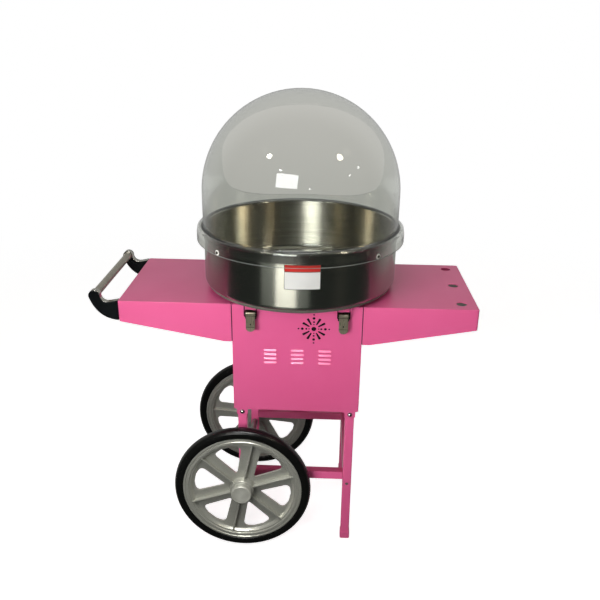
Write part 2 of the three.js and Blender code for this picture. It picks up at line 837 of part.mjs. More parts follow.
function wheel(face, side) {
  const group = new THREE.Group();
  group.position.set(-legX, side * wheelPlane, tyreRadius);
  group.rotation.x = -side * (Math.PI / 2);
  machine.add(group);
  const turn = side < 0 ? frontWheelTurn : rearWheelTurn;
  add(face + "_wheel_rim", wheelRim(turn), castAlloy, group);
  add(face + "_wheel_tyre", tyre(), tyreRubber, group);
  add(face + "_hub_cap", hubCap(), castAlloy, group);
}

// Control point of a curve between two points, given as shares of their distance along and across it
function curveControl(from, to, [along, across]) {
  const chord = to.clone().sub(from);
  const normal = new THREE.Vector2(-chord.y, chord.x);
  return from.clone().addScaledVector(chord, along).addScaledVector(normal, across);
}

// Side outline of a handle arm, drawn in XZ at the left end
function armOutline() {
  const start = -shelfEnd - gap;
  const [foot, top] = [cabinetTop - shelfEndDepth + handleArmFoot, cabinetTop - gap];
  const [tipX, tipZ, tip] = [-handleX, handleBarHeight, handleTipRadius];
  const line = Math.atan2(tipZ - (foot + top) / 2, tipX - start);
  const enter = (line < 0 ? line + 2 * Math.PI : line) + radians(handleTipSpread);
  const leave = enter - radians(handleTipArc);
  const onTip = (angle) => new THREE.Vector2(tipX + tip * Math.cos(angle), tipZ + tip * Math.sin(angle));
  const root = new THREE.Vector2(start, foot);
  const run = new THREE.Vector2(start - handleTopRun, cabinetTop - handleTopDrop);
  const lower = curveControl(root, onTip(enter), handleLowerBend);
  const upper = curveControl(onTip(leave), run, handleUpperBend);
  const shape = new THREE.Shape();
  shape.moveTo(root.x, root.y);
  shape.quadraticCurveTo(lower.x, lower.y, onTip(enter).x, onTip(enter).y);
  shape.absarc(tipX, tipZ, tip, enter, leave, true);
  shape.quadraticCurveTo(upper.x, upper.y, run.x, run.y);
  shape.lineTo(start, top);
  shape.closePath();
  return shape;
}

function handleArm(side) {
  const half = handleArmThickness / 2;
  const inside = -shelfEnd + sheet;
  const arm = extrudedY(armOutline(), -half, half, curveSteps);
  const bolt = join(
    rodX(handleBoltRadius, -shelfEnd - 2, inside + handleBoltEnd, boltFacets),
    rodX(handleNutRadius, inside + gap, inside + handleNutHeight, boltFacets),
  );
  return join(arm, bolt.translate(0, 0, armZ)).translate(0, side * armY, 0);
}

function handle() {
  for (const [face, side] of faces) {
    add(face + "_handle_arm", handleArm(side), chrome);
    const outside = shelfDepth / 2;
    const [y0, y1] = [side * outside, side * (outside - handleCoverThickness)].sort((a, b) => a - b);
    add(face + "_handle_cover", extrudedY(armOutline(), y0, y1, curveSteps), blackPlastic);
  }
  const reach = armY - handleArmThickness / 2 - gap;
  const bar = rodY(handleBarRadius, -reach, reach, middleFacets);
  add("handle_bar", bar.translate(-handleX, 0, handleBarHeight), chrome);
}

// Bowl: a spun steel pan with a rolled rim, a centre collar and four welded latch hooks
function bowl() {
  const profile = [[bowlHoleRadius, bowlBase]];
  const arc = (radius, from, to, steps, cx, cz) => {
    for (let i = 0; i <= steps; i += 1) {
      const angle = radians(from + ((to - from) * i) / steps);
      profile.push([cx + radius * Math.cos(angle), cz + radius * Math.sin(angle)]);
    }
  };
  const [cx, cz] = [bowlRadius - bowlCorner, bowlBase + bowlCorner];
  arc(bowlCorner, -90, 0, 3, cx, cz);
  arc(rimBead, rimBeadStart, 180, 5, bowlRadius - bowlSheet + rimBead, rimZ);
  arc(bowlCorner - bowlSheet, 0, -90, 3, cx, cz);
  profile.push([bowlHoleRadius + bowlSheet, bowlBase + bowlSheet]);
  profile.push([bowlHoleRadius + bowlSheet, bowlBase + bowlCollar]);
  profile.push([bowlHoleRadius, bowlBase + bowlCollar]);
  const hooks = [];
  for (const [, side] of faces) {
    for (const [, end] of ends) {
      const hook = catchHook();
      if (side > 0) hook.rotateZ(Math.PI);
      hooks.push(hook.translate(end * latchX, side * halfDepth, 0));
    }
  }
  return join(turned(profile, wideFacets), ...hooks);
}

// Hook under the bowl that the latch's wire bail pulls on, in the latch's own frame
function catchHook() {
  const seat = cabinetTop + catchRise;
  const back = catchBack;
  const lip = -bailTopOut - bailRadius - 2;
  const outline = roundedOutline(
    [
      [back, bowlBase + bowlSheet / 2], [back - catchSheet, bowlBase + bowlSheet / 2],
      [back - catchSheet, seat], [lip, seat], [lip, seat + catchLip], [lip - catchSheet, seat + catchLip],
      [lip - catchSheet, seat - catchSheet], [back, seat - catchSheet],
    ],
    0,
  );
  return extrudedX(outline, -catchWidth / 2, catchWidth / 2);
}

function seatRing() {
  const [low, high] = [cabinetTop + gap, bowlBase - gap];
  const [inner, outer] = [seatRingRadius - seatRingWall, seatRingRadius];
  return turned([[inner, low], [outer, low], [outer, high], [inner, high]], middleFacets);
}

// Clear dome: a hemisphere on a straight wall whose shoulder rests on the bowl's rim
function dome() {
  const under = rimTop + gap;
  const shoulder = under + domeWall;
  const springZ = shoulder + domeShoulderRise + domeStraight;
  const low = rimTop - domeLipDrop;
  const profile = [];
  const steps = domeSteps;
  for (let i = 0; i <= steps; i += 1) {
    const angle = (Math.PI / 2) * (i / steps);
    const inside = domeRadius - domeWall;
    profile.push([inside * Math.sin(angle), springZ + inside * Math.cos(angle)]);
  }
  profile.push([domeRadius - domeWall, under], [bowlRadius + domeLedge, under]);
  profile.push([domeLipRadius - domeWall, low + domeLipStraight], [domeLipRadius - domeWall, low]);
  profile.push([domeLipRadius, low], [domeLipRadius, low + domeLipStraight + 2 * gap]);
  profile.push([bowlRadius + domeLedge + domeWall / 2, shoulder], [domeRadius + 2, shoulder + 1]);
  profile.push([domeRadius, shoulder + domeShoulderRise]);
  for (let i = steps; i >= 0; i -= 1) {
    const angle = (Math.PI / 2) * (i / steps);
    profile.push([domeRadius * Math.sin(angle), springZ + domeRadius * Math.cos(angle)]);
  }
  profile[0][0] = 0;
  profile[profile.length - 1][0] = 0;
  return cut(turned(profile, wideFacets), operatorOpening());
}

// Outline of the operator's opening: a flat-bottomed D whose top follows the dome
function operatorOpening() {
  const steps = 8;
  const curve = (power, height) => Array.from({ length: steps + 1 }, (_, i) => {
    const angle = (Math.PI / 2) * (i / steps);
    return [
      openingHalfWidth * Math.cos(angle) ** (2 / power),
      openingMiddle + height * Math.sin(angle) ** (2 / power),
    ];
  });
  const upper = curve(openingTopPower, openingRise);
  const lower = curve(openingBottomPower, -openingFall);
  const right = [...lower.reverse(), ...upper.slice(1)];
  const left = right.slice(1, -1).reverse().map(([x, z]) => [-x, z]);
  return extrudedY(roundedOutline([...right, ...left], 0), openingStart, domeLipRadius + past);
}

// Latch pieces in the latch's own frame: X across, -Y out of the cabinet's face, Z as in the machine
function latchBase() {
  const top = latchPinZ + latchPlateRise;
  const half = leverWidth / 2 + latchPlateLap;
  const plate = extrudedY(
    rectangle(-half, half, top - latchPlateHeight, top), -gap - leverSheet, -gap,
  );
  const reach = latchEarRadius;
  const earOutline = roundedOutline(
    [
      [-gap - leverSheet / 2, latchPinZ - reach], [-latchPinOut - reach, latchPinZ - reach],
      [-latchPinOut - reach, latchPinZ + reach], [-gap - leverSheet / 2, latchPinZ + reach],
    ],
    [0, 3, 3, 0],
  );
  const inner = leverWidth / 2 + gap;
  const ears = ends.map(([, side]) => {
    const [x0, x1] = [side * inner, side * (inner + leverSheet)].sort((a, b) => a - b);
    return extrudedX(earOutline, x0, x1);
  });
  const pin = rodX(latchPinRadius, -inner - 1, inner + 1, boltFacets);
  return join(plate, ...ears, pin.translate(0, -latchPinOut, latchPinZ));
}

function latchLever() {
  const half = leverWidth / 2;
  const front = -latchPinOut - knuckleRadius;
  const [bendZ, lowZ] = [latchPinZ - leverBend, latchPinZ - leverLength];
  const straight = block(-half, half, front, front + leverSheet, bendZ, latchPinZ);
  const tab = extrudedY(
    roundedOutline(
      [[-half, bendZ + 0.5], [-half, lowZ], [half, lowZ], [half, bendZ + 0.5]],
      [0, tabCorner, tabCorner, 0],
    ),
    front, front + leverSheet, 3,
  );
  tab.translate(0, -front, -bendZ).rotateX(-radians(leverTilt)).translate(0, front, bendZ);
  const knuckle = rodX(knuckleRadius, -half, half, smallFacets).translate(0, -latchPinOut, latchPinZ);
  const low = latchPinZ - bailDrop - cheekEdge;
  const cheekOutline = roundedOutline(
    [
      [front + leverSheet / 2, low], [-latchPinOut + cheekEdge, low],
      [-latchPinOut + cheekEdge, latchPinZ], [front + leverSheet / 2, latchPinZ],
    ],
    [0, 2, 0, 0],
  );
  const cheeks = ends.map(([, side]) => {
    const [x0, x1] = [side * half, side * (half - leverSheet)].sort((a, b) => a - b);
    return extrudedX(cheekOutline, x0, x1);
  });
  const whole = join(straight, tab, knuckle, ...cheeks);
  const hole = rodY(leverHoleRadius, front - 1, front + leverSheet + 1, boltFacets);
  const across = (radius) => holeX(radius + gap, -half - 1, half + 1, boltFacets);
  return cut(
    whole,
    across(latchPinRadius).translate(0, -latchPinOut, latchPinZ),
    across(bailRadius).translate(0, -latchPinOut, latchPinZ - bailDrop),
    hole.translate(0, 0, bendZ + leverHoleRise),
  );
}

function latchBail() {
  const low = [-latchPinOut, latchPinZ - bailDrop];
  const high = [-bailTopOut, bailTopZ];
  const [side, bend] = [bailHalfWidth, bailBend];
  const inside = leverWidth / 2 - leverSheet;
  const rise = (share) => [
    low[0] + (high[0] - low[0]) * share, low[1] + (high[1] - low[1]) * share,
  ];
  const length = Math.hypot(high[0] - low[0], high[1] - low[1]);
  const half = [
    [inside, ...low], [side - bend / 3, ...low], [side, ...rise(bend / 3 / length)],
    [side, ...rise(1 - bend / length)], [side - bend, ...high],
  ];
  const mirrored = half.map(([x, y, z]) => [-x, y, z]).reverse();
  return bentWire([...half, ...mirrored], bailRadius, boltFacets);
}

function latches() {
  for (const [face, side] of faces) {
    for (const [end, way] of ends) {
      const group = new THREE.Group();
      group.position.set(way * latchX, side * halfDepth, 0);
      group.rotation.z = side > 0 ? Math.PI : 0;
      machine.add(group);
      const place = "_" + face + "_" + end;
      add("latch_base" + place, latchBase(), darkSteel, group);
      add("latch_lever" + place, latchLever(), steel, group);
      add("latch_bail" + place, latchBail(), darkSteel, group);
    }
  }
}

// Motor, its hanging bracket and the carbon brushes
const bracketLow = cabinetTop - sheet - bracketDrop;
const slipRingLow = bracketLow + slipRingRise;

function motorBracket() {
  const [x, y, top] = [bracketWidth / 2, bracketDepth / 2, cabinetTop - sheet - gap];
  const [web, wall] = [x - bracketFoot, bracketSheet];
  const profile = roundedOutline(
    [
      [-x, top - wall], [-web, top - wall], [-web, bracketLow], [web, bracketLow],
      [web, top - wall], [x, top - wall], [x, top], [web - wall, top],
      [web - wall, bracketLow + wall], [wall - web, bracketLow + wall], [wall - web, top], [-x, top],
    ],
    0,
  );
  return cut(extrudedY(profile, -y, y), rodZ(shaftRadius + 4, bracketLow - 1, bracketLow + wall + 1));
}

function motor() {
  const top = bracketLow - gap;
  const low = top - motorLength;
  const step = motorShoulder * 0.75;
  const body = turned(
    [
      [0, low], [motorNeckRadius, low], [motorEndRadius, low + step], [motorRadius, low + motorShoulder],
      [motorRadius, top - motorShoulder], [motorEndRadius, top - step], [motorNeckRadius, top], [0, top],
    ],
    middleFacets,
  );
  return cut(body, holeZ(shaftBore, top - shaftSocket, top + 1));
}

function brushHolder() {
  const [low, high] = [bracketLow + bracketSheet + gap, slipRingLow + slipRingLength];
  const reach = slipRingRadius + gap;
  const [postStart, half] = [reach + brushArm, brushPostHalf];
  const post = block(postStart, postStart + brushPost, -half, half, low, high + 2);
  const arms = [0.25, 0.75].map((share) => {
    const z = slipRingLow + share * slipRingLength;
    return block(reach, postStart + 1, -brushArmHalf, brushArmHalf, z - brushHalf, z + brushHalf);
  });
  return join(post, ...arms);
}

// Spinner head: shaft with slip rings, base, heater, slotted band and cap
function spinnerShaft() {
  const [low, slipRingTop] = [bracketLow - shaftSocket + 2, slipRingLow + slipRingLength];
  const [under, over] = [spinnerZ - gap, spinnerZ + spinnerSheet + gap];
  const [flange, nut] = [shaftRadius + shaftFlangeReach, shaftRadius + shaftNutReach];
  return turned(
    [
      [0, low], [shaftRadius, low], [shaftRadius, slipRingLow], [slipRingRadius, slipRingLow],
      [slipRingRadius, slipRingTop], [shaftRadius, slipRingTop],
      [shaftRadius, under - shaftFlange], [flange, under - shaftFlange], [flange, under],
      [shaftRadius, under], [shaftRadius, over], [nut, over],
      [nut, over + shaftNut], [0, over + shaftNut],
    ],
    smallFacets,
  );
}

function spinnerBase() {
  const [low, wall, outer, corner] = [spinnerZ, spinnerSheet, spinnerRadius, spinnerCorner];
  return turned(
    [
      [shaftBore, low], [outer - corner, low], [outer, low + corner], [outer, low + spinnerLip],
      [outer - wall, low + spinnerLip], [outer - wall, low + corner + wall / 3],
      [outer - corner - wall / 3, low + wall], [shaftBore, low + wall],
    ],
    spinnerFacets,
  );
}

function heatingRing() {
  const low = spinnerZ + spinnerSheet + gap;
  const [inner, outer] = [heaterRadius - heaterWidth / 2, heaterRadius + heaterWidth / 2];
  const [seat, top] = [low + heaterRaise, low + heaterRaise + heaterWidth];
  const ring = turned([[inner, seat], [outer, seat], [outer, top], [inner, top]], spinnerFacets);
  const posts = [0, 1, 2].map((third) => {
    const post = rodZ(heaterPostRadius, low, seat + 1, boltFacets).translate(heaterRadius, 0, 0);
    return post.rotateZ((third * 2 * Math.PI) / 3);
  });
  return join(ring, ...posts);
}

function spinnerBand() {
  const low = spinnerZ + spinnerLip + gap;
  const high = low + spinnerBandHeight;
  const [inner, outer] = [spinnerRadius - spinnerSheet, spinnerRadius];
  const band = turned([[inner, low], [outer, low], [outer, high], [inner, high]], spinnerFacets);
  const slots = Array.from({ length: spinnerSlots }, (_, i) => {
    const half = spinnerSlotWidth / 2;
    const slot = block(inner - 2, outer + 2, -half, half, low + spinnerSlotEdge, high - spinnerSlotEdge);
    return slot.rotateZ(radians(((i + 0.5) * 360) / spinnerSlots));
  });
  return cut(band, ...slots);
}

function spinnerCap() {
  const low = spinnerZ + spinnerLip + 2 * gap + spinnerBandHeight;
  const [high, tube] = [low + spinnerSheet, sugarTubeRadius];
  const foot = spinnerZ + spinnerSheet + sugarTubeFoot;
  return turned(
    [
      [tube - spinnerSheet, foot], [tube, foot], [tube, low], [spinnerRadius, low],
      [spinnerRadius, high], [tube + 4, high], [tube + 2, high + 2], [tube - spinnerSheet, high + 2],
    ],
    spinnerFacets,
  );
}

// Operator's side
function controlPanel() {
  const plate = rectangle(-panelWidth / 2, panelWidth / 2, panelTop - panelHeight, panelTop, panelCorner);
  const [y0, y1] = [halfDepth + gap, panelFace];
  const tools = Object.values(switchXs).map((x) => {
    const [w, h] = [switchWidth / 2 - switchLap, switchHeight / 2 - switchLap];
    return block(x - w, x + w, y0 - 1, y1 + 1, controlZ - h, controlZ + h);
  });
  tools.push(holeY(meterRadius + gap, y0 - 1, y1 + 1, middleFacets).translate(meterX, 0, controlZ));
  return cut(extrudedY(plate, y0, y1), ...tools);
}

function switchFrame(x) {
  const [w, h] = [switchWidth / 2, switchHeight / 2];
  const face = panelFace + gap;
  const front = face + switchRim;
  const flange = extrudedY(rectangle(-w, w, -h, h, 2), face, front);
  const [bw, bh] = [w - switchLap - gap, h - switchLap - gap];
  const body = block(-bw, bw, face - switchDepth, face + 1, -bh, bh);
  const well = block(
    -rockerHalfWidth - gap, rockerHalfWidth + gap, front - rockerWell, front + 1,
    -rockerHalfLength - rockerEndGap, rockerHalfLength + rockerEndGap,
  );
  return cut(join(flange, body), well).translate(x, 0, controlZ);
}

function rocker(x) {
  const pivot = panelFace + gap + switchRim - rockerPivotDepth;
  const [[back, backHalf], [shoulder, middle, end]] = [rockerBack, rockerFront];
  const outline = roundedOutline(
    [
      [-back, -backHalf], [-back, backHalf], [shoulder, rockerHalfLength],
      [end, rockerHalfLength - gap], [middle, 0],
      [end, -rockerHalfLength + gap], [shoulder, -rockerHalfLength],
    ],
    0,
  );
  const body = extrudedX(outline, -rockerHalfWidth, rockerHalfWidth);
  return body.rotateX(radians(rockerTilt)).translate(x, pivot, controlZ);
}

const needlePivotZ = controlZ - needleDrop;

function meterCase() {
  const face = panelFace + gap;
  const [front, floor] = [face + meterRise, face - 1];
  const shell = join(
    rodY(meterRadius, face - meterDepth, face + 1, middleFacets),
    rodY(meterBezel, face, front, middleFacets),
  );
  const hollow = cut(shell, rodY(meterRadius - meterWall, floor, front + 1, middleFacets));
  const pin = rodY(1, floor - 1, floor + 2 * needleSheet + 1, boltFacets);
  return join(hollow, pin.translate(0, 0, -needleDrop)).translate(meterX, 0, controlZ);
}

function meterNeedle() {
  const base = panelFace + gap - 1 + needleSheet;
  const [tip, tail, end] = [needleSheet / 2, 2 * needleSheet, base + needleSheet];
  const outline = [[-tail, -needleTail], [tail, -needleTail], [tip, needleLength], [-tip, needleLength]];
  const blade = extrudedY(roundedOutline(outline, 0), base, end);
  const hub = rodY(needleHubRadius, base, end, boltFacets);
  const whole = cut(join(blade, hub), holeY(1 + gap, base - 1, base + 2, boltFacets));
  return whole.rotateY(radians(45)).translate(meterX, 0, needlePivotZ);
}

function cordGland() {
  const z = legHeight + glandZ;
  const ring = join(
    rodY(glandRadius, halfDepth + gap, halfDepth + glandRise),
    rodY(glandRadius - 2, halfDepth - glandTail, halfDepth + 1),
  );
  const bore = rodY(glandBore, halfDepth - glandTail - 1, halfDepth + glandRise + 1, boltFacets);
  return cut(ring, bore).translate(glandX, 0, z);
}

// Drawer: a folded tray behind a front plate, on two rails that stand on the cabinet's floor
function drawer() {
  const half = drawerWidth / 2;
  const back = halfDepth + gap - drawerLength;
  const high = drawerZ + drawerHeight;
  const tray = cut(
    block(-half, half, back, halfDepth + gap + drawerFront / 2, drawerZ, high),
    block(
      -half + drawerWall, half - drawerWall, back + drawerWall, halfDepth + gap,
      drawerZ + drawerWall, high + 1,
    ),
  );
  const lap = half + drawerLap;
  const plate = rectangle(-lap, lap, drawerZ - drawerLap, high + drawerLap, panelCorner);
  return join(tray, extrudedY(plate, halfDepth + gap, halfDepth + gap + drawerFront));
}

function drawerPull() {
  const face = halfDepth + 2 * gap + drawerFront;
  const [half, reach, bend] = [pullHalfWidth, face + pullReach, pullBend];
  const z = drawerZ + drawerHeight / 2;
  const side = [[half, face, z], [half, reach - bend, z], [half - bend, reach, z]];
  const mirrored = side.map(([x, ...rest]) => [-x, ...rest]).reverse();
  return bentWire([...side, ...mirrored], pullRadius, boltFacets);
}

function drawerRail(side) {
  const inner = drawerWidth / 2 + 2 * gap;
  const [low, ledge] = [legHeight + sheet + gap, drawerZ - gap];
  const guide = ledge + railGuide;
  const outline = roundedOutline(
    [
      [inner + railFoot, low], [inner + railFoot, low + sheet], [inner + sheet, low + sheet],
      [inner + sheet, guide], [inner, guide], [inner, ledge], [inner - railLedge, ledge],
      [inner - railLedge, ledge - sheet], [inner, ledge - sheet], [inner, low],
    ],
    0,
  );
  const reach = halfDepth - railSetBack;
  const rail = extrudedY(outline, -reach, reach);
  return side > 0 ? rail : rail.rotateZ(Math.PI);
}

// Assembly
add("cabinet_shell", cabinetShell(), pinkPaint);
add("front_panel", frontPanel(), pinkPaint);
add("cabinet_top", topPlate(), pinkPaint);
add("cabinet_floor", floorTray(), pinkPaint);
add("left_shelf", handleShelf(), pinkPaint);
add("right_shelf", coneShelf(), pinkPaint);
for (const [face, side] of faces) {
  for (const [end, way] of ends) add("leg_" + face + "_" + end, leg(side, way), pinkPaint);
}
lowerBars();
add("axle", axle(), steel);
for (const [face, side] of faces) wheel(face, side);
handle();
add("bowl_seat_ring", seatRing(), blackPlastic);
add("bowl", bowl(), steel);
add("dome", dome(), clearAcrylic);
latches();
add("motor_bracket", motorBracket(), steel);
add("motor", motor(), motorPaint);
add("brush_holder", brushHolder(), brass);
add("spinner_shaft", spinnerShaft(), steel);
add("spinner_base", spinnerBase(), steel);
add("heating_ring", heatingRing(), darkSteel);
add("spinner_band", spinnerBand(), steel);
add("spinner_cap", spinnerCap(), steel);
add("control_panel", controlPanel(), darkSteel);
add("power_switch_frame", switchFrame(switchXs.power), blackPlastic);
add("power_rocker", rocker(switchXs.power), greenPlastic);
add("heat_switch_frame", switchFrame(switchXs.heat), blackPlastic);
add("heat_rocker", rocker(switchXs.heat), redPlastic);
add("meter_case", meterCase(), whitePlastic);
add("meter_needle", meterNeedle(), blackPlastic);
add("cord_gland", cordGland(), blackPlastic);
for (const [end, way] of ends) add("drawer_rail_" + end, drawerRail(way), steel);
add("drawer", drawer(), pinkPaint);
add("drawer_pull", drawerPull(), chrome);

export default machine;
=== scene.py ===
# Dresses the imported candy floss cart: finer shapes, real finishes, a small studio and the camera.
# Sizes and places are in millimetres, from the bowl's axis and the floor, with the vent at the front (-Y).
import json
import math

import bpy
from mathutils import Matrix, Vector

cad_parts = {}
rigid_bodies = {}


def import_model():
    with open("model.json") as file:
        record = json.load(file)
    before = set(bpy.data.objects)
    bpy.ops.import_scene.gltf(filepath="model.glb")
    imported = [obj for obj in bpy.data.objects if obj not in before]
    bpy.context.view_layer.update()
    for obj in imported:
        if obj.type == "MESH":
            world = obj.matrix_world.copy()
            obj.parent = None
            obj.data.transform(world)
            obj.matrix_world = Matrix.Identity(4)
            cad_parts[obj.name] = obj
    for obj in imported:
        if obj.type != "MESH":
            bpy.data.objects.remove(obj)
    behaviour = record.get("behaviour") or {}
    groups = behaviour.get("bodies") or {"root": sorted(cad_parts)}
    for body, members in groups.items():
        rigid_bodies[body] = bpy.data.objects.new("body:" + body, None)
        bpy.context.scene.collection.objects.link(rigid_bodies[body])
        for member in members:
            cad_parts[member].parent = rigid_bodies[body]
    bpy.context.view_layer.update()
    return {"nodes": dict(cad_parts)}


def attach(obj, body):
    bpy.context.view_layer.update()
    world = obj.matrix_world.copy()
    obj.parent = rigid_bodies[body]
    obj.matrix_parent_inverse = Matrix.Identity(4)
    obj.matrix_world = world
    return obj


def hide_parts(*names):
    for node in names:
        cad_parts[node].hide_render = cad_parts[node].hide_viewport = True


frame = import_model()
print("frame loaded,", len(frame["nodes"]), "nodes")

axisShift = 37.5  # the bowl's axis stands this far from the shared frame's origin
faces = {"front": -1, "rear": 1}
ends = {"left": -1, "right": 1}
quarters = [(face + "_" + end, side, way) for face, side in faces.items() for end, way in ends.items()]
axes = {"x": (1, 0, 0), "y": (0, 1, 0), "z": (0, 0, 1)}


# Drawing and editing

def at(x, y, z):
    return Vector(((x + axisShift) / 1000, y / 1000, z / 1000))


def focus(piece):
    if bpy.context.mode != "OBJECT":
        bpy.ops.object.mode_set(mode="OBJECT")
    bpy.ops.object.select_all(action="DESELECT")
    if piece:
        bpy.context.view_layer.objects.active = piece
        piece.select_set(True)


def openEdit(piece, kind="VERT", everything=False):
    focus(piece)
    modes = {"VERT": (True, False, False), "EDGE": (False, True, False), "FACE": (False, False, True)}
    bpy.context.scene.tool_settings.mesh_select_mode = modes[kind]
    bpy.ops.object.mode_set(mode="EDIT")
    if everything:
        bpy.ops.mesh.select_all(action="SELECT")


def closeEdit():
    bpy.ops.object.mode_set(mode="OBJECT")


# Selects by place: a test of one point, of an edge's two ends, or of a face's centre and normal
def choose(piece, kind, test):
    focus(piece)
    mesh = piece.data
    for items in (mesh.vertices, mesh.edges, mesh.polygons):
        items.foreach_set("select", [False] * len(items))
    places = [vertex.co for vertex in mesh.vertices]
    if kind == "VERT":
        for vertex in mesh.vertices:
            vertex.select = test(vertex.co)
    elif kind == "EDGE":
        for edge in mesh.edges:
            edge.select = test(*(places[i] for i in edge.vertices))
    else:
        for face in mesh.polygons:
            face.select = test(face.center, face.normal)
    openEdit(piece, kind)


def cleanUp(piece, distance=0.00001):
    openEdit(piece, everything=True)
    bpy.ops.mesh.remove_doubles(threshold=distance)
    bpy.ops.mesh.normals_make_consistent(inside=False)
    closeEdit()


# One vertex, extruded from point to point
def drawLine(name, points, closed=False):
    focus(None)
    bpy.ops.mesh.primitive_plane_add(size=0.01, location=(0, 0, 0))
    piece = bpy.context.object
    piece.name = name
    openEdit(piece, everything=True)
    bpy.ops.mesh.merge(type="CENTER")
    bpy.ops.transform.translate(value=points[0])
    path = [*points, points[0]] if closed else points
    for here, there in zip(path, path[1:]):
        bpy.ops.mesh.extrude_vertices_move(TRANSFORM_OT_translate={"value": there - here})
    bpy.ops.mesh.select_all(action="SELECT")
    bpy.ops.mesh.remove_doubles(threshold=0.000001)
    closeEdit()
    return piece


# An outline of corners (u, v, radius) in the plane across an axis, extruded from low to high
def plate(name, corners, axis, low, high, steps=5):
    place = {"x": lambda u, v: at(low, u, v), "y": lambda u, v: at(u, low, v), "z": lambda u, v: at(u, v, low)}
    points = [place[axis](*corner[:2]) for corner in corners]
    piece = drawLine(name, points, closed=True)
    openEdit(piece, everything=True)
    bpy.ops.mesh.edge_face_add()
    closeEdit()
    radii = [corner[2] if len(corner) > 2 else 0 for corner in corners]
    for radius in sorted(set(radii) - {0}):
        spots = [point for point, r in zip(points, radii) if r == radius]
        choose(piece, "VERT", lambda co: any((co - spot).length < 0.00002 for spot in spots))
        bpy.ops.mesh.bevel(offset=radius / 1000, segments=steps, affect="VERTICES")
        closeEdit()
    openEdit(piece, "FACE", everything=True)
    rise = Vector(axes[axis]) * (high - low) / 1000
    bpy.ops.mesh.extrude_region_move(TRANSFORM_OT_translate={"value": rise})
    closeEdit()
    cleanUp(piece)
    return piece


def rectangle(u0, u1, v0, v1, radius=0):
    return [(u0, v0, radius), (u1, v0, radius), (u1, v1, radius), (u0, v1, radius)]


def box(name, x0, x1, y0, y1, z0, z1, radius=0, axis="z"):
    spans = {"x": (x0, x1), "y": (y0, y1), "z": (z0, z1)}
    low, high = spans.pop(axis)
    (u0, u1), (v0, v1) = spans.values()
    return plate(name, rectangle(u0, u1, v0, v1, radius), axis, low, high)


# A profile of (radius, height) spun about Z, or about Y or X for a wheel, a knob or a screw
def spun(name, profile, x=0, y=0, z=0, axis="z", steps=96, closed=True, angle=math.tau):
    place = {"z": lambda r, h: at(x + r, y, z + h), "y": lambda r, h: at(x + r, y + h, z),
             "x": lambda r, h: at(x + h, y + r, z)}[axis]
    piece = drawLine(name, [place(r, h) for r, h in profile], closed)
    openEdit(piece, everything=True)
    bpy.ops.mesh.spin(steps=steps, angle=angle, center=at(x, y, z), axis=axes[axis])
    closeEdit()
    cleanUp(piece, 0.000002)
    return piece


# A plain round drill or rod between two heights, and a ring of plain section
def rod(name, radius, low, high, x=0, y=0, z=0, axis="z", steps=24):
    return spun(name, [(0, low), (radius, low), (radius, high), (0, high)], x, y, z, axis, steps, False)


def ring(name, inner, outer, low, high, x=0, y=0, z=0, axis="z", steps=96, angle=math.tau):
    profile = [(inner, low), (outer, low), (outer, high), (inner, high)]
    return spun(name, profile, x, y, z, axis, steps, True, angle)


def arc(radius, start, end, steps, u=0, v=0):
    turns = [math.radians(start + (end - start) * i / steps) for i in range(steps + 1)]
    return [(u + radius * math.cos(turn), v + radius * math.sin(turn)) for turn in turns]


# Rounds the corners of a path of points
def bend(points, radius, steps=5):
    path = [points[0]]
    for before, corner, after in zip(points, points[1:], points[2:]):
        back, on = (before - corner).normalized(), (after - corner).normalized()
        reach = min(radius / 1000, (before - corner).length / 2.05, (after - corner).length / 2.05)
        for i in range(steps + 1):
            share = i / steps
            enter, leave = corner + back * reach, corner + on * reach
            path.append(enter.lerp(corner, share).lerp(corner.lerp(leave, share), share))
    return [*path, points[-1]]


# A round wire or tube along a path
def wire(name, points, radius, sides=12):
    piece = drawLine(name, points)
    focus(piece)
    bpy.ops.object.convert(target="CURVE")
    piece.data.bevel_depth = radius / 1000
    piece.data.bevel_resolution = sides // 4
    piece.data.use_fill_caps = True
    bpy.ops.object.convert(target="MESH")
    cleanUp(piece)
    return piece


def modify(piece, kind, **settings):
    modifier = piece.modifiers.new(kind.title(), kind)
    for name, value in settings.items():
        setattr(modifier, name, value)
    focus(piece)
    bpy.ops.object.modifier_apply(modifier=modifier.name)
    return piece


def soften(piece, width, segments=2, limit=30):
    return modify(piece, "BEVEL", width=width / 1000, segments=segments, limit_method="ANGLE",
                  angle_limit=math.radians(limit))


def thicken(piece, wall):
    return modify(piece, "SOLIDIFY", thickness=wall / 1000, offset=-1, use_even_offset=True)


def together(name, *pieces):
    focus(pieces[0])
    for piece in pieces:
        piece.select_set(True)
    if len(pieces) > 1:
        bpy.ops.object.join()
    pieces[0].name = name
    return pieces[0]


def throwOut(*pieces):
    for piece in pieces:
        bpy.data.objects.remove(piece, do_unlink=True)


def combine(piece, operation, *tools):
    for tool in tools:
        modify(piece, "BOOLEAN", operation=operation, solver="EXACT", object=tool)
        throwOut(tool)
    return piece


def cutAway(piece, *tools):
    return combine(piece, "DIFFERENCE", together("tool", *tools))


def unite(piece, *others):
    return combine(piece, "UNION", *others)


# Moves a piece by a matrix and puts its object back on the origin, with the place in its mesh
def settle(piece, matrix):
    focus(piece)
    piece.matrix_world = matrix @ piece.matrix_world
    bpy.ops.object.transform_apply(location=True, rotation=True, scale=True)
    return piece


# A settled copy with its own mesh
def copyOf(piece, name, matrix):
    focus(piece)
    bpy.ops.object.duplicate()
    copied = bpy.context.object
    copied.name = name
    return settle(copied, matrix)


def turned(angle, axis, x=0, y=0, z=0):
    centre = at(x, y, z)
    return Matrix.Translation(centre) @ Matrix.Rotation(math.radians(angle), 4, axis) @ Matrix.Translation(-centre)


def moved(x, y, z):
    return Matrix.Translation(Vector((x, y, z)) / 1000)


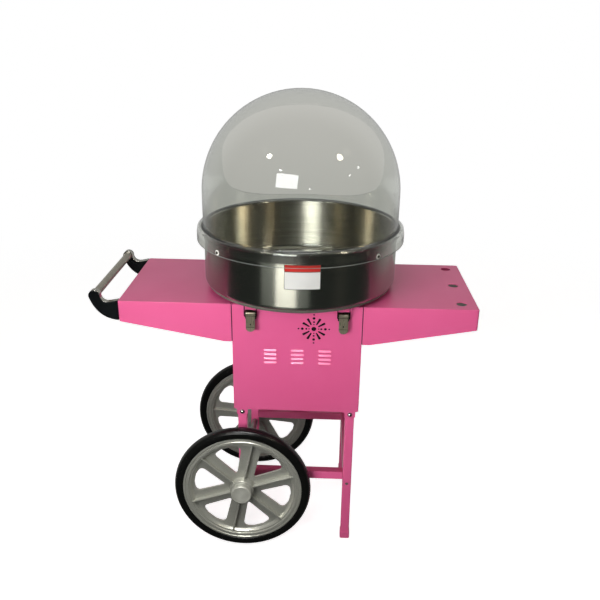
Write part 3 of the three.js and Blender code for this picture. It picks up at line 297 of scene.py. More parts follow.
# Places at one of the four corners what was drawn for the front
def atQuarter(side, way, x, y):
    return moved(way * x, side * y, 0) @ turned(180 if side > 0 else 0, "Z")


# Gives a piece its finish and the body that it rides on; the slot (the finish's own where none is named) is worked out
# but not given to it
def finish(piece, look, *replaced, body="cart", slotName=None, smooth=35):
    focus(piece)
    if smooth:
        bpy.ops.object.shade_smooth_by_angle(angle=math.radians(smooth))
        modify(piece, "WEIGHTED_NORMAL", keep_sharp=True)
    material, ownSlot = finishes[look]
    piece.data.materials.clear()
    piece.data.materials.append(material)
    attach(piece, body)
    slotName or ownSlot
    if replaced:
        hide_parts(*replaced)
    return piece


# Camera
cameraSettings = {
    "place": (63.3, -1827.1, 1418.7),
    "yaw": 1.95,  # degrees towards -X
    "pitch": 21.89,  # downwards
    "roll": 0.75,
    "lens": 41.81,
    "sensor": 36,
}


def makeCamera(settings):
    yaw, pitch, roll = (math.radians(settings[key]) for key in ("yaw", "pitch", "roll"))
    forward = Vector((-math.sin(yaw) * math.cos(pitch), math.cos(yaw) * math.cos(pitch), -math.sin(pitch)))
    right = forward.cross(Vector((0, 0, 1))).normalized()
    up = right.cross(forward)
    across = right * math.cos(roll) + up * math.sin(roll)
    above = up * math.cos(roll) - right * math.sin(roll)
    data = bpy.data.cameras.new("camera")
    data.lens = settings["lens"]
    data.sensor_width = settings["sensor"]
    data.clip_start = 0.05
    camera = bpy.data.objects.new("camera", data)
    bpy.context.scene.collection.objects.link(camera)
    turn = Matrix((across, above, -forward)).transposed().to_4x4()
    camera.matrix_world = Matrix.Translation(at(*settings["place"])) @ turn
    bpy.context.scene.camera = camera


makeCamera(cameraSettings)
print("camera placed")


# Finishes

def colour(hexCode, alpha=1.0):
    parts = [int(hexCode[i:i + 2], 16) / 255 for i in (1, 3, 5)]
    return [p / 12.92 if p <= 0.04045 else ((p + 0.055) / 1.055) ** 2.4 for p in parts] + [alpha]


# Adds a node with its links, values and settings, and gives the socket that leaves it
def addNode(tree, kind, inputs=None, output=0, **settings):
    made = tree.nodes.new(kind)
    for name, value in settings.items():
        setattr(made, name, value)
    for name, value in (inputs or {}).items():
        if isinstance(value, bpy.types.NodeSocket):
            tree.links.new(value, made.inputs[name])
        else:
            made.inputs[name].default_value = value
    return made.outputs[output] if made.outputs else None


def newMaterial(name, inputs):
    material = bpy.data.materials.new(name)
    material.use_nodes = True
    tree = material.node_tree
    tree.nodes.clear()
    surface = addNode(tree, "ShaderNodeBsdfPrincipled", inputs)
    addNode(tree, "ShaderNodeOutputMaterial", {"Surface": surface})
    return material, tree, surface.node


# Two near tones by one pattern, roughness about its middle by another, and fine relief
def dressSurface(tree, shader, tones, pattern, roughness, swing, unevenness, relief, strength, height):
    ramp = addNode(tree, "ShaderNodeValToRGB", {"Fac": pattern})
    for element, place, tone in zip(ramp.node.color_ramp.elements, (0.35, 0.65), tones):
        element.position, element.color = place, colour(tone)
    rough = addNode(tree, "ShaderNodeMapRange", {
        "Value": unevenness, "To Min": roughness - swing, "To Max": roughness + swing})
    bump = addNode(tree, "ShaderNodeBump", {"Height": relief, "Strength": strength, "Distance": height / 1000})
    for name, socket in (("Base Color", ramp), ("Roughness", rough), ("Normal", bump)):
        tree.links.new(socket, shader.inputs[name])


# Enamel or moulded plastic: an even colour with faint unevenness, and a fine skin of orange peel
def coated(name, first, second, roughness, peel, height, gloss=0.0):
    material, tree, shader = newMaterial(name, {"IOR": 1.5, "Coat Weight": gloss, "Coat Roughness": 0.12})
    place = addNode(tree, "ShaderNodeTexCoord", output="Object")
    broad = addNode(tree, "ShaderNodeTexNoise", {"Vector": place, "Scale": 7.0, "Detail": 3.0})
    fine = addNode(tree, "ShaderNodeTexNoise", {"Vector": place, "Scale": 1000 / peel, "Detail": 2.0})
    dressSurface(tree, shader, (first, second), broad, roughness, 0.05, broad, fine, 0.35, height)
    return material


# Bare metal with drawn scratches: the noise is squeezed along one direction by its scales
def drawn(name, first, second, roughness, scales, height=0.02, metal=1.0):
    material, tree, shader = newMaterial(name, {"Metallic": metal})
    place = addNode(tree, "ShaderNodeTexCoord", output="Object")
    stretched = addNode(tree, "ShaderNodeMapping", {"Vector": place, "Scale": scales})
    grain = addNode(tree, "ShaderNodeTexNoise", {"Vector": stretched, "Scale": 1.0, "Detail": 4.0})
    dressSurface(tree, shader, (first, second), grain, roughness, 0.08, grain, grain, 0.3, height)
    return material


# Metal spun and then brushed round: scratches lie in rings, so light stands up in streaks
def spunMetal(name, first, second, roughness, anisotropy):
    material, tree, shader = newMaterial(name, {
        "Metallic": 1.0, "Anisotropic": anisotropy, "Anisotropic Rotation": 0.25})
    place = addNode(tree, "ShaderNodeTexCoord", output="Object")
    centred = addNode(tree, "ShaderNodeMapping", {"Vector": place, "Location": (-axisShift / 1000, 0, 0)})
    parts = addNode(tree, "ShaderNodeSeparateXYZ", {"Vector": centred}).node.outputs
    flat = addNode(tree, "ShaderNodeCombineXYZ", {"X": parts["X"], "Y": parts["Y"]})
    radius = addNode(tree, "ShaderNodeVectorMath", {0: flat}, "Value", operation="LENGTH")
    rings = addNode(tree, "ShaderNodeCombineXYZ", {"X": radius, "Y": parts["Z"]})
    fine = addNode(tree, "ShaderNodeTexNoise", {"Vector": rings, "Scale": 900.0, "Detail": 3.0})
    broad = addNode(tree, "ShaderNodeTexNoise", {"Vector": place, "Scale": 9.0, "Detail": 2.0})
    dressSurface(tree, shader, (first, second), fine, roughness, 0.04, broad, fine, 0.25, 0.02)
    tangent = addNode(tree, "ShaderNodeTangent", direction_type="RADIAL", axis="Z")
    tree.links.new(tangent, shader.inputs["Tangent"])
    return material


# Cast acrylic, polished: clear, with a faint haze of handling marks in its gloss
def clearAcrylic():
    material, tree, shader = newMaterial("clearAcrylic", {
        "Base Color": colour("#F4F6F5"), "IOR": 1.49, "Transmission Weight": 1.0})
    place = addNode(tree, "ShaderNodeTexCoord", output="Object")
    haze = addNode(tree, "ShaderNodeTexNoise", {"Vector": place, "Scale": 5.0, "Detail": 3.0})
    gloss = addNode(tree, "ShaderNodeMapRange", {"Value": haze, "To Min": 0.0, "To Max": 0.05})
    tree.links.new(gloss, shader.inputs["Roughness"])
    return material


# Each finish with the slot that its pieces mostly take in the model, which the script doesn't give them
finishes = {
    # Polyester powder coat on sheet steel: satin gloss with fine orange peel
    "pink": (coated("pinkPowderCoat", "#F0679D", "#EE6399", 0.36, 1.6, 0.03, 0.5), "pink_paint"),
    # Spun stainless steel, brushed round: a satin metal with long streaks of light
    "bowlSteel": (spunMetal("spunStainlessSteel", "#BCBCB4", "#9E9E95", 0.25, 0.96), "bowl_steel"),
    # The same steel where it is rolled under and left dull
    "hemSteel": (drawn("dullRolledHem", "#807F74", "#706F65", 0.42, (300, 300, 300), 0.02, 0.4), "bowl_steel"),
    # Turned aluminium: pale metal with fine rings
    "headMetal": (spunMetal("turnedAluminium", "#C9C8C4", "#B6B5B0", 0.3, 0.6), "spinner_steel"),
    "acrylic": (clearAcrylic(), "clear_acrylic"),
    # Sawn edge of the same sheet, frosted by the blade
    "sawnEdge": (coated("frostedAcrylicEdge", "#8D908C", "#7E817D", 0.6, 0.7, 0.05), "clear_acrylic"),
    # Zinc plate on pressed steel: greyish, dull gloss with a faint blotch
    "zinc": (drawn("zincPlatedSteel", "#B4B4AF", "#9C9C98", 0.34, (60, 60, 60)), "zinc_steel"),
    # Bright zinc on a cold-headed bolt: a pale glint
    "bolt": (drawn("brightZincBolt", "#CFCFCA", "#BDBDB8", 0.2, (60, 60, 60), 0.01), "zinc_steel"),
    # Nickel plate on a pressing, warm and a little dull
    "nickel": (drawn("nickelPlatedSteel", "#A39C86", "#8E8874", 0.3, (500, 40, 40), metal=0.7), "latch_steel"),
    # Spring wire, blackened: a low dark sheen
    "darkWire": (drawn("blackenedSteelWire", "#4A453C", "#36322B", 0.38, (300, 300, 300)), "dark_steel"),
    # Chrome plate on tube: mirror gloss, hardly any grain
    "chrome": (drawn("chromePlatedTube", "#D4D1C9", "#C4C1B9", 0.14, (40, 400, 40), 0.005), "chrome"),
    # Silver paint on a sand-textured aluminium casting: dull sparkle over a fine grit
    "casting": (drawn("silverPaintedCasting", "#A8A8A0", "#9C9C94", 0.32, (350, 350, 350), 0.04, 0.64), "cast_alloy"),
    # The same paint on a smoother, machined face
    "castingBright": (drawn("silverCastingFace", "#A9A9A2", "#93938B", 0.36, (25, 25, 25), 0.03, 0.4), "cast_alloy"),
    # Solid rubber, moulded smooth, with a little dust
    "tyre": (coated("solidTyreRubber", "#090909", "#10100F", 0.26, 2.0, 0.02), "tyre_rubber"),
    # Matt black without gloss, used as painted shade: behind the vent for the cabinet's dark inside, and in the seams
    # beside the front panel for their shadow
    "shadeBlack": (coated("blackFilterCloth", "#040404", "#070707", 0.85, 0.8, 0.05), "seat_rubber"),
    # Grey primer on the sheet that the paper cones stand on
    "rest": (coated("greyPrimer", "#A9B8AF", "#9FADA5", 0.5, 1.6, 0.03), "zinc_steel"),
    # Moulded rubber: dull black with a dusty skin
    "seal": (coated("mouldedRubber", "#141414", "#1C1C1B", 0.7, 1.2, 0.05), "seat_rubber"),
    # Glass-filled nylon: black, satin, finely grained
    "black": (coated("blackNylon", "#07090B", "#0D1013", 0.36, 0.9, 0.04), "black_plastic"),
    # Stoved enamel on the motor: charcoal with a slight peel
    "motor": (coated("blackMotorEnamel", "#2A2C2E", "#36393B", 0.45, 1.5, 0.05), "motor_paint"),
    # Textured enamel on the operator's panel: dark, fine and rough
    "panel": (coated("darkTexturedEnamel", "#26262A", "#303034", 0.5, 1.0, 0.08), "panel_paint"),
    # Moulded ABS: warm white with a soft gloss
    "white": (coated("whiteMouldedAbs", "#E9E7DF", "#DFDCD3", 0.32, 2.5, 0.01), "meter_white"),
    # Coloured polycarbonate of the rockers: strong colour under a clear gloss
    "green": (coated("greenPolycarbonate", "#128A48", "#0E7A3F", 0.22, 2.5, 0.01, 0.4), "green_plastic"),
    "red": (coated("redPolycarbonate", "#B9211B", "#A51A15", 0.22, 2.5, 0.01, 0.4), "red_plastic"),
    # Stamped brass of the brushes: yellow metal with drawn lines
    "brass": (drawn("stampedBrass", "#B89A55", "#A58643", 0.32, (300, 60, 60)), "brush_brass"),
    # Brushed tube of the push bar, dull with fine scratches across
    "barSteel": (drawn("brushedTube", "#A6A296", "#918D81", 0.34, (60, 600, 60), 0.02, 0.6), "chrome"),
    # Oiled steel of the pressings: dark, with a faint grain
    "darkSteel": (drawn("oiledDarkSteel", "#5A564C", "#46423A", 0.36, (200, 60, 60)), "dark_steel"),
    # Screen-printed film of the plain plate: even colour under a clear, glossy skin
    "plateWhite": (coated("whiteFilm", "#E4E4E0", "#DADAD6", 0.3, 3.0, 0.005, 0.3), "bowl_steel"),
    "plateRed": (coated("redFilm", "#C9302A", "#BC2A25", 0.3, 3.0, 0.005, 0.3), "bowl_steel"),
    "plateEdge": (coated("darkFilmEdge", "#54504C", "#48443F", 0.4, 3.0, 0.005), "bowl_steel"),
}
print("finishes made")


# Bowl
bowl = {
    "radius": 260, "base": 755, "rim": 904, "sheet": 1.2, "corner": 14, "hem": 7, "bead": 4, "hole": 34,
    "collar": 11, "seatRadius": 112, "seatWall": 12, "seatLow": 739.3, "seatHigh": 754.7,
}


def makeBowl(size):
    radius, base, sheet, corner = size["radius"], size["base"], size["sheet"], size["corner"]
    bead, hole, top, rim = size["bead"], size["hole"], size["base"] + size["collar"], size["rim"]
    beadRadius, wall = radius - sheet + bead, radius - sheet
    hem = arc(size["hem"], 180, -180, 24, radius - corner + 1, base + 0.5)
    profiles = {
        "pan": [
            (hole, top), (hole, base + 3), (hole + 3, base),
            *arc(corner, -90, 0, 8, radius - corner, base + corner), *arc(bead, -134, 180, 18, beadRadius, rim),
            *arc(corner - sheet, 0, -90, 8, radius - corner, base + corner),
            (hole + 3 + sheet, base + sheet), (hole + sheet, base + 3 + sheet), (hole + sheet, top)],
        "lining": [(wall - 0.4, base + corner), (wall - 0.05, base + corner), (wall - 0.05, rim - 0.4),
                   (wall - 0.4, rim - 0.4)],
        "bead": [*arc(bead + 0.3, -125, 172, 18, beadRadius, rim), *arc(bead + 0.05, 172, -125, 18, beadRadius, rim)],
        "hem": hem[:-1],
    }
    for name, profile in profiles.items():
        nodes = ["bowl"] if name == "pan" else []
        finish(spun("bowl_" + name, profile, steps=160), "hemSteel" if name == "hem" else "bowlSteel", *nodes)
    outer = size["seatRadius"]
    seat = ring("bowl_seat", outer - size["seatWall"], outer, size["seatLow"], size["seatHigh"])
    finish(soften(seat, 2, 3), "seal", "bowl_seat_ring")


# A plain two-colour plate on the front of the bowl
namePlate = {
    "middle": 15, "width": 88, "low": 815, "band": 860, "high": 878, "thick": 0.35, "edge": 1.2, "proud": 0.15,
    "inset": 0.25,  # degrees that the coloured fields stay inside the edge
}


def makeNamePlate(size):
    proud, edge, band = size["proud"], size["edge"], size["band"]
    inner = bowl["radius"] + proud
    half = math.degrees(size["width"] / 2 / inner)
    middle = math.degrees(size["middle"] / inner)
    fields = [("edge", size["low"], size["high"], half, 0, "plateEdge"),
              ("band", band + 1, size["high"] - edge, half - size["inset"], proud, "plateRed"),
              ("field", size["low"] + edge, band - 1, half - size["inset"], proud, "plateWhite")]
    for name, low, high, spanHalf, rise, look in fields:
        outer = inner + size["thick"] + rise
        field = ring("name_plate_" + name, inner, outer, low, high, steps=24, angle=math.radians(2 * spanHalf))
        openEdit(field, "EDGE", everything=True)
        bpy.ops.mesh.fill_holes(sides=4)
        closeEdit()
        settle(field, turned(-90 + middle + spanHalf, "Z"))
        cleanUp(field)
        finish(field, look, smooth=20)


# Dome
dome = {
    "radius": 262, "wall": 3, "spring": 997.3, "under": 908.3, "shoulder": 911.3, "ledge": 268.2,
    "lip": 279, "low": 875, "lipStraight": 15, "halfWidth": 227, "middle": 1050, "rise": 153, "fall": 123,
    "topPower": 2.3, "bottomPower": 3.3, "curveSteps": 20, "screwAngle": 45.3, "screwZ": 883,
}


# A quarter of the opening's outline, above or below its middle, as a superellipse
def openingCurve(size, power, height):
    turns = [math.pi / 2 * i / size["curveSteps"] for i in range(size["curveSteps"] + 1)]
    return [(size["halfWidth"] * math.cos(turn) ** (2 / power) if turn < math.pi / 2 - 1e-6 else 0,
             size["middle"] + height * math.sin(turn) ** (2 / power)) for turn in turns]


def makeDome(size):
    radius, wall, spring, under = size["radius"], size["wall"], size["spring"], size["under"]
    shoulder, ledge, lip, low = size["shoulder"], size["ledge"], size["lip"], size["low"]
    inner, straight = radius - wall, low + size["lipStraight"]
    profile = [
        (0, spring + inner), *arc(inner, 90, 0, 26, 0, spring)[1:], (inner, shoulder + 2), (inner, under),
        (ledge, under), (ledge + 3, under - 0.4), (ledge + 6.3, under - 4), (lip - wall, straight + 4),
        (lip - wall, low), (lip, low), (lip, straight + 4.6), (ledge + 8.6, shoulder - 4),
        (ledge + 5, shoulder - 0.8), (ledge + 1.8, shoulder), (radius + 4, shoulder),
        (radius + 1.2, shoulder + 1.4), (radius, shoulder + 5), *arc(radius, 0, 90, 26, 0, spring)[:-1],
        (0, spring + radius),
    ]
    shell = spun("dome_shell", profile, steps=160, closed=False)
    upper = openingCurve(size, size["topPower"], size["rise"])
    lower = openingCurve(size, size["bottomPower"], -size["fall"])
    right = [*reversed(lower), *upper[1:]]
    left = [(-x, z) for x, z in reversed(right[1:-1])]
    cutAway(shell, plate("tool", [*right, *left], "y", 30, lip + 10))
    soften(shell, 0.6, 2, 60)
    finish(shell, "acrylic", "dome", body="dome", smooth=40)
    shell.visible_shadow = False
    sawn = [(lip - wall + 0.2, low - 0.05), (lip - 0.2, low - 0.05), (lip + 0.1, low + 0.2), (lip + 0.1, low + 1),
            (lip - wall - 0.1, low + 1), (lip - wall - 0.1, low + 0.2)]
    finish(spun("dome_edge", sawn, steps=160), "sawnEdge", body="dome")
    screw = spun("screw", [(0, 3.1), (2.2, 2.8), (3.3, 1.9), (3.7, 0.4), (3.7, 0), (0, 0)], axis="x", steps=20,
                 closed=False)
    washer = ring("washer", 2, 7, -0.6, 0, axis="x", steps=24)
    for recess in [box("slot", 1.8, 4, -half, half, -other, other) for half, other in ((0.6, 2.6), (2.6, 0.6))]:
        cutAway(screw, recess)
    for part in (screw, washer):
        soften(part, 0.2, 2, 40)
    lean = size["screwAngle"]
    for number, angle in enumerate((-90 - lean, -90 + lean, 90 - lean, 90 + lean)):
        matrix = turned(angle, "Z") @ moved(lip + 0.6, 0, size["screwZ"])
        for part, kind, look in ((screw, "screw", "darkSteel"), (washer, "washer", "white")):
            piece = copyOf(part, "dome_%s_%d" % (kind, number + 1), matrix)
            finish(piece, look, body="dome", slotName="zinc_steel")
    throwOut(screw, washer)


# Cabinet
cabinet = {
    "halfWidth": 170, "halfDepth": 175, "low": 429, "top": 739, "sheet": 1.5, "gap": 0.3, "bend": 3,
    "faceHalf": 168.8, "faceCorner": 7.5, "seamLow": 633, "seamDeep": 0.8, "screen": 48, "edge": 0.35,
    "earHalf": 15, "earX": 147, "earDrop": 20, "earCut": 5, "boltZ": 421, "boltHole": 3.3,
    "vent": (44, 674), "ventHole": 6.25, "slotInner": 13, "slotOuter": 33.6, "slotWidths": (3.8, 7),
    "slotCorners": (0.5, 2.2), "dots": [(12.5, 1.8), (19.5, 2.7), (30, 3.7), (40, 2.3)],
    "louvreXs": (-70, 2, 74), "louvreTop": 610, "louvrePitch": 12, "louvreRows": 4, "louvreWidth": 35,
    "louvreHeight": 4, "louvreDepth": 3.2, "louvreTaper": 0.9,
    "drawerHole": (111, 455, 549), "panelHole": (86, 634, 704), "gland": (145, 470, 7.3),
    "skirtIn": 1.8, "skirtDrop": 9.5, "lidHole": 34,
}


# Corners of an ear at the lower edge, from its left foot round to the right
def earCorners(size, x, top):
    half, foot, cut = size["earHalf"], size["low"] - size["earDrop"], size["earCut"]
    return [(x - half, top), (x - half, foot + cut), (x - half + cut, foot), (x + half - cut, foot),
            (x + half, foot + cut), (x + half, top)]


def makeLouvre(size):
    face, half = -size["halfDepth"], size["louvreWidth"] / 2
    height, depth = size["louvreHeight"] / 2, size["louvreDepth"]
    profile = [(face + 0.2, height + 1.2), (face - 0.5, height), (face - depth * 0.55, height * 0.3),
               (face - depth * 0.92, -height * 0.55), (face - depth, -height), (face + 0.2, -height)]
    hood = plate("louvre", profile, "x", -half, half)
    choose(hood, "VERT", lambda co: co.y < (face - 0.3) / 1000)
    bpy.ops.transform.resize(value=(size["louvreTaper"], 1, 1), center_override=at(0, face, 0))
    closeEdit()
    choose(hood, "FACE", lambda centre, normal: normal.z < -0.9 or normal.y > 0.9)
    bpy.ops.mesh.delete(type="FACE")
    closeEdit()
    soften(hood, 1.1, 3, 40)
    return thicken(hood, 0.9)


def makeFrontPanel(size):
    face, sheet, low, earX = -size["halfDepth"], size["sheet"], size["low"], size["earX"]
    half, top, corner = size["faceHalf"], size["top"] - sheet - size["gap"], size["faceCorner"]
    outline = [(-half, low, corner), *earCorners(size, -earX, low), *earCorners(size, earX, low),
               (half, low, corner), (half, top), (-half, top)]
    sheetFace = plate("front_face", outline, "y", face, face + sheet)
    ventX, ventZ = size["vent"]
    before, behind = face - 1, face + sheet + 1
    tools = [rod("tool", size["ventHole"], before, behind, ventX, 0, ventZ, "y", 40)]
    (narrow, wide), (tight, loose) = (width / 2 for width in size["slotWidths"]), size["slotCorners"]
    start, stop = ventX + size["slotInner"], ventX + size["slotOuter"]
    for quarter in range(4):
        for lean in (30, 60):
            corners = [(start, ventZ - narrow, tight), (stop, ventZ - wide, loose), (stop, ventZ + wide, loose),
                       (start, ventZ + narrow, tight)]
            slot = plate("tool", corners, "y", before, behind)
            slot.matrix_world = turned(quarter * 90 + lean, "Y", ventX, 0, ventZ)
            tools.append(slot)
        for distance, radius in size["dots"]:
            dot = rod("tool", radius, before, behind, ventX + distance, 0, ventZ, "y", 20)
            dot.matrix_world = turned(quarter * 90, "Y", ventX, 0, ventZ)
            tools.append(dot)
    bolts = [rod("tool", size["boltHole"], before, behind, x, 0, size["boltZ"], "y") for x in (-earX, earX)]
    spots = [(x, size["louvreTop"] - row * size["louvrePitch"])
             for x in size["louvreXs"] for row in range(size["louvreRows"])]
    reach, drop = size["louvreWidth"] / 2 - 2, size["louvreHeight"] / 2 - 0.4
    slots = [box("tool", x - reach, x + reach, before, behind, z - drop, z + 1.2) for x, z in spots]
    cutAway(sheetFace, *tools, *bolts, *slots)
    hood = makeLouvre(size)
    hoods = [copyOf(hood, "hood", moved(x, 0, z)) for x, z in spots]
    throwOut(hood)
    finish(soften(sheetFace, size["edge"]), "pink", "front_panel")
    finish(together("louvre_hoods", *hoods), "pink")
    # Painted shade: a black sheet behind the vent, so that its openings read as dark as the cabinet's shaded inside
    reach = size["screen"]
    screen = box("vent_screen", ventX - reach, ventX + reach, face + sheet + 0.2, face + sheet + 0.9,
                 ventZ - reach, ventZ + reach, 3, "y")
    finish(soften(screen, 0.2), "shadeBlack")
    # Painted shade: black strips in the gaps between the front panel and the shelves, standing in for the shadow in
    # those seams
    for end, way in ends.items():
        low, high = sorted((way * (half + 0.1), way * (shelf["start"] - 0.1)))
        seamShade = box("seam_strip_" + end, low, high, face + size["seamDeep"], face + sheet, size["seamLow"], top)
        finish(soften(seamShade, 0.2), "shadeBlack")


def makeCabinetShell(size):
    half, deep, sheet, bendRadius = size["halfWidth"], size["halfDepth"], size["sheet"], size["bend"]
    front, back, side = size["gap"] + sheet - deep, deep - sheet, half - sheet
    inner, low, top = bendRadius - sheet, size["low"], size["top"] - sheet - size["gap"]
    outline = [(half, front), (half, deep, bendRadius), (-half, deep, bendRadius), (-half, front), (-side, front),
               (-side, back, inner), (side, back, inner), (side, front)]
    shell = plate("cabinet_walls", outline, "z", low, top)
    earXs = (-size["earX"], size["earX"])
    unite(shell, *[plate("ear", earCorners(size, x, low + 2), "y", back, deep) for x in earXs])
    before, behind = back - 1, deep + 1
    glandX, glandZ, glandRadius = size["gland"]
    tools = [box("tool", -wide, wide, before, behind, holeLow, holeHigh, 3, "y")
             for wide, holeLow, holeHigh in (size["drawerHole"], size["panelHole"])]
    tools += [rod("tool", glandRadius, before, behind, glandX, 0, glandZ, "y", 32),
              *[rod("tool", size["boltHole"], before, behind, x, 0, size["boltZ"], "y") for x in earXs]]
    cutAway(shell, *tools)
    finish(soften(shell, size["edge"]), "pink", "cabinet_shell")
    top = size["top"]
    lid = box("cabinet_lid", -half, half, -deep, deep, top - sheet, top, bendRadius)
    wide, long = half - size["skirtIn"], deep - size["skirtIn"]
    skirt = box("skirt", -wide, wide, -long, long, top - size["skirtDrop"], top - 0.75, bendRadius)
    wide, long = wide - sheet, long - sheet
    cutAway(skirt, box("tool", -wide, wide, -long, long, top - size["skirtDrop"] - 1.5, top + 1, inner))
    unite(lid, skirt)
    cutAway(lid, rod("tool", size["lidHole"], top - 12, top + 1, steps=48))
    finish(soften(lid, 0.5), "pink", "cabinet_top")


# Shelves
shelf = {
    "start": 171.1, "end": 466, "half": 175.5, "top": 739, "root": 107, "tip": 57, "flat": 190, "corner": 6,
    "fold": 2.2, "sheet": 1.5, "coneX": 426, "coneYs": (-137.5, 0, 137.5), "coneRadius": 13.5,
    "rest": (385, 463.5, 173, 700, 1.2),
}


def makeShelf(side, size):
    top, start, end = size["top"], size["start"], size["end"]
    profile = [(start, top), (end, top), (end, top - size["tip"]), (size["flat"], top - size["root"]),
               (start, top - size["root"])]
    tray = plate("shelf_" + side, profile, "y", -size["half"], size["half"])
    choose(tray, "EDGE", lambda a, b: abs(a.x - at(end, 0, 0).x) < 1e-5 and abs(b.x - a.x) < 1e-5
           and abs(a.z - b.z) > 0.01)
    bpy.ops.mesh.bevel(offset=size["corner"] / 1000, segments=5, affect="EDGES")
    closeEdit()
    choose(tray, "FACE", lambda centre, normal: normal.z < -0.5)
    bpy.ops.mesh.delete(type="FACE")
    closeEdit()
    choose(tray, "EDGE", lambda a, b: a.z > (top - 0.01) / 1000 and b.z > (top - 0.01) / 1000)
    bpy.ops.mesh.bevel(offset=size["fold"] / 1000, segments=4, affect="EDGES")
    closeEdit()
    thicken(tray, size["sheet"])
    if side == "right":
        cutAway(tray, *[rod("tool", size["coneRadius"], top - 4, top + 1, size["coneX"], y, steps=48)
                        for y in size["coneYs"]])
        near, far, reach, low, thick = size["rest"]
        rest = box("cone_rest", near, far, -reach, reach, low, low + thick, 2)
        finish(soften(rest, 0.3), "rest")
    soften(tray, 0.35, 2, 50)
    if side == "left":
        settle(tray, turned(180, "Z"))
    finish(tray, "pink", side + "_shelf")


# Legs and bars
leg = {
    "x": 147, "y": 160.7, "half": 12.5, "corner": 3, "top": 428.7, "wheelEnd": 157, "base": 2, "footHalf": 14,
    "foot": 22, "footCorner": 4, "wall": 1.5, "boltZ": 421, "boltHead": 5, "washer": 6.4, "boltSeat": 2.1,
    "axleZ": 192, "axleHole": 4.4, "barTop": 230, "barInset": 2, "barGap": 0.3, "plug": (4.2, 0.7),
}


# Hollows the lower end of a tube
def hollowEnd(piece):
    low = min(vertex.co.z for vertex in piece.data.vertices)
    choose(piece, "FACE", lambda centre, normal: abs(centre.z - low) < 1e-5 and normal.z < -0.9)
    bpy.ops.mesh.inset(thickness=leg["wall"] / 1000, depth=0)
    bpy.ops.mesh.extrude_region_move(TRANSFORM_OT_translate={"value": (0, 0, 0.03)})
    closeEdit()


# A closed round head or plug on a leg's outer side, its profile's heights turned to that side
def studOn(name, profile, x, y, z, side):
    return spun(name, [(r, h * side) for r, h in profile], x, y * side, z, "y", 24, False)


def makeLegs(size):
    half, foot, outer = size["half"], size["footHalf"], size["y"] + size["half"]
    for place, side, way in quarters:
        x, y = way * size["x"], side * size["y"]
        base = size["wheelEnd"] if way < 0 else size["base"]
        post = box("leg", x - half, x + half, y - half, y + half, base, size["top"], size["corner"])
        if way < 0:
            hollowEnd(post)
        cutAway(post, rod("tool", size["axleHole"], -14, 14, x, y, size["axleZ"], "y", 28))
        parts = [soften(post, 0.4)]
        if way > 0:
            cap = box("foot", x - foot, x + foot, y - foot, y + foot, 0, size["foot"], size["footCorner"])
            parts.append(soften(cap, 1.2, 3))
        finish(together("post_" + place, *parts), "pink", "leg_" + place)
        bolt = [(0, 0), (size["washer"], 0), (size["washer"], 0.8), (size["boltHead"], 1), (4.7, 2), (3.9, 3),
                (2.8, 3.7), (1.5, 4.1), (0, 4.2)]
        finish(studOn("leg_bolt_" + place, bolt, x, outer + size["boltSeat"], size["boltZ"], side), "bolt")
        if way > 0:
            radius, sunk = size["plug"]
            disc = [(0, -1), (radius, -1), (radius, -0.4), (radius - 0.5, 0), (0, 0)]
            plug = studOn("leg_plug_" + place.split("_")[0], disc, x, outer - sunk, size["axleZ"], side)
            finish(plug, "hemSteel", slotName="zinc_steel")


def makeBars(size):
    half, corner, middle = size["half"], size["corner"], size["barTop"] - size["half"]
    reach, deep = (size[key] - half - size["barGap"] for key in ("x", "y"))
    bars = [(face, "x", reach, side * (size["y"] - size["barInset"])) for face, side in faces.items()]
    for name, axis, end, across in [*bars, ("side", "y", deep, size["x"])]:
        outline = rectangle(across - half, across + half, middle - half, middle + half, corner)
        finish(soften(plate("bar_" + name, outline, axis, -end, end), 0.4), "pink", name + "_lower_bar")


# Wheels
wheel = {
    "x": -147, "z": 192, "y": 203, "spokes": 6, "turns": {"front": 18.6, "rear": 4},
    "rimOuter": 166.6, "seat": 160.5, "seatHalf": 11.5, "webHalf": 3, "bore": 4.5,
    "ribHalf": 12, "ribTop": 14.2, "ribThick": 4.6, "ribRoot": 28, "ribEnd": 150.5,
    "windowInner": 50, "windowOuter": 133, "windowBulge": 4, "windowCorner": 14, "spokeTip": 26.5,
    "hub": 35, "hubFace": 20, "hubInner": 173.5, "hubBoss": 11,
    "cap": 28.5, "capLow": 20.3, "capHigh": 39.3, "capEdge": 4,
    "axle": 9, "axleHalf": 140, "pin": 4.1, "nut": 8, "nutThick": 6.5,
}
# Outer half of the ring's section, from the flange to the web, as (radius, height)
rimFace = [(166.6, 14.4), (165.4, 15), (162, 15), (161, 13.4), (158.5, 13.4), (157.5, 14.6), (151.5, 14.6),
           (150, 11.8), (146, 11.4), (144, 8), (141, 4.4), (138.5, 3)]
tyreSide = [(160.8, 11.2), (167.1, 11.2), (167.4, 14.6), (169.6, 16.4), (173.5, 17.6), (179, 18), (183.6, 17),
            (187.4, 14), (190.2, 9.4), (191.6, 4.6), (192, 0)]


# A length and an angle from the hub as the cart's x and z: the rear wheel is the front one turned about X
def onWheel(side, radius, angle):
    turn = math.radians(angle)
    return wheel["x"] + radius * math.cos(turn), wheel["z"] - side * radius * math.sin(turn)


def spokeWindow(size, side, angle):
    lean = 180 / size["spokes"]
    inner, outer, corner = size["windowInner"], size["windowOuter"], size["windowCorner"]
    tip = lean - math.degrees(math.asin(size["spokeTip"] / outer))
    bulge = outer + size["windowBulge"]
    spots = [(inner - 3, 0, 9), (outer, -tip, corner), (bulge, -tip / 3, 0), (bulge, tip / 3, 0), (outer, tip, corner)]
    corners = [(*onWheel(side, radius, angle + turn), rounding) for radius, turn, rounding in spots]
    reach, plane = size["webHalf"] + 2, side * size["y"]
    return plate("window", corners, "y", plane - reach, plane + reach, steps=6)


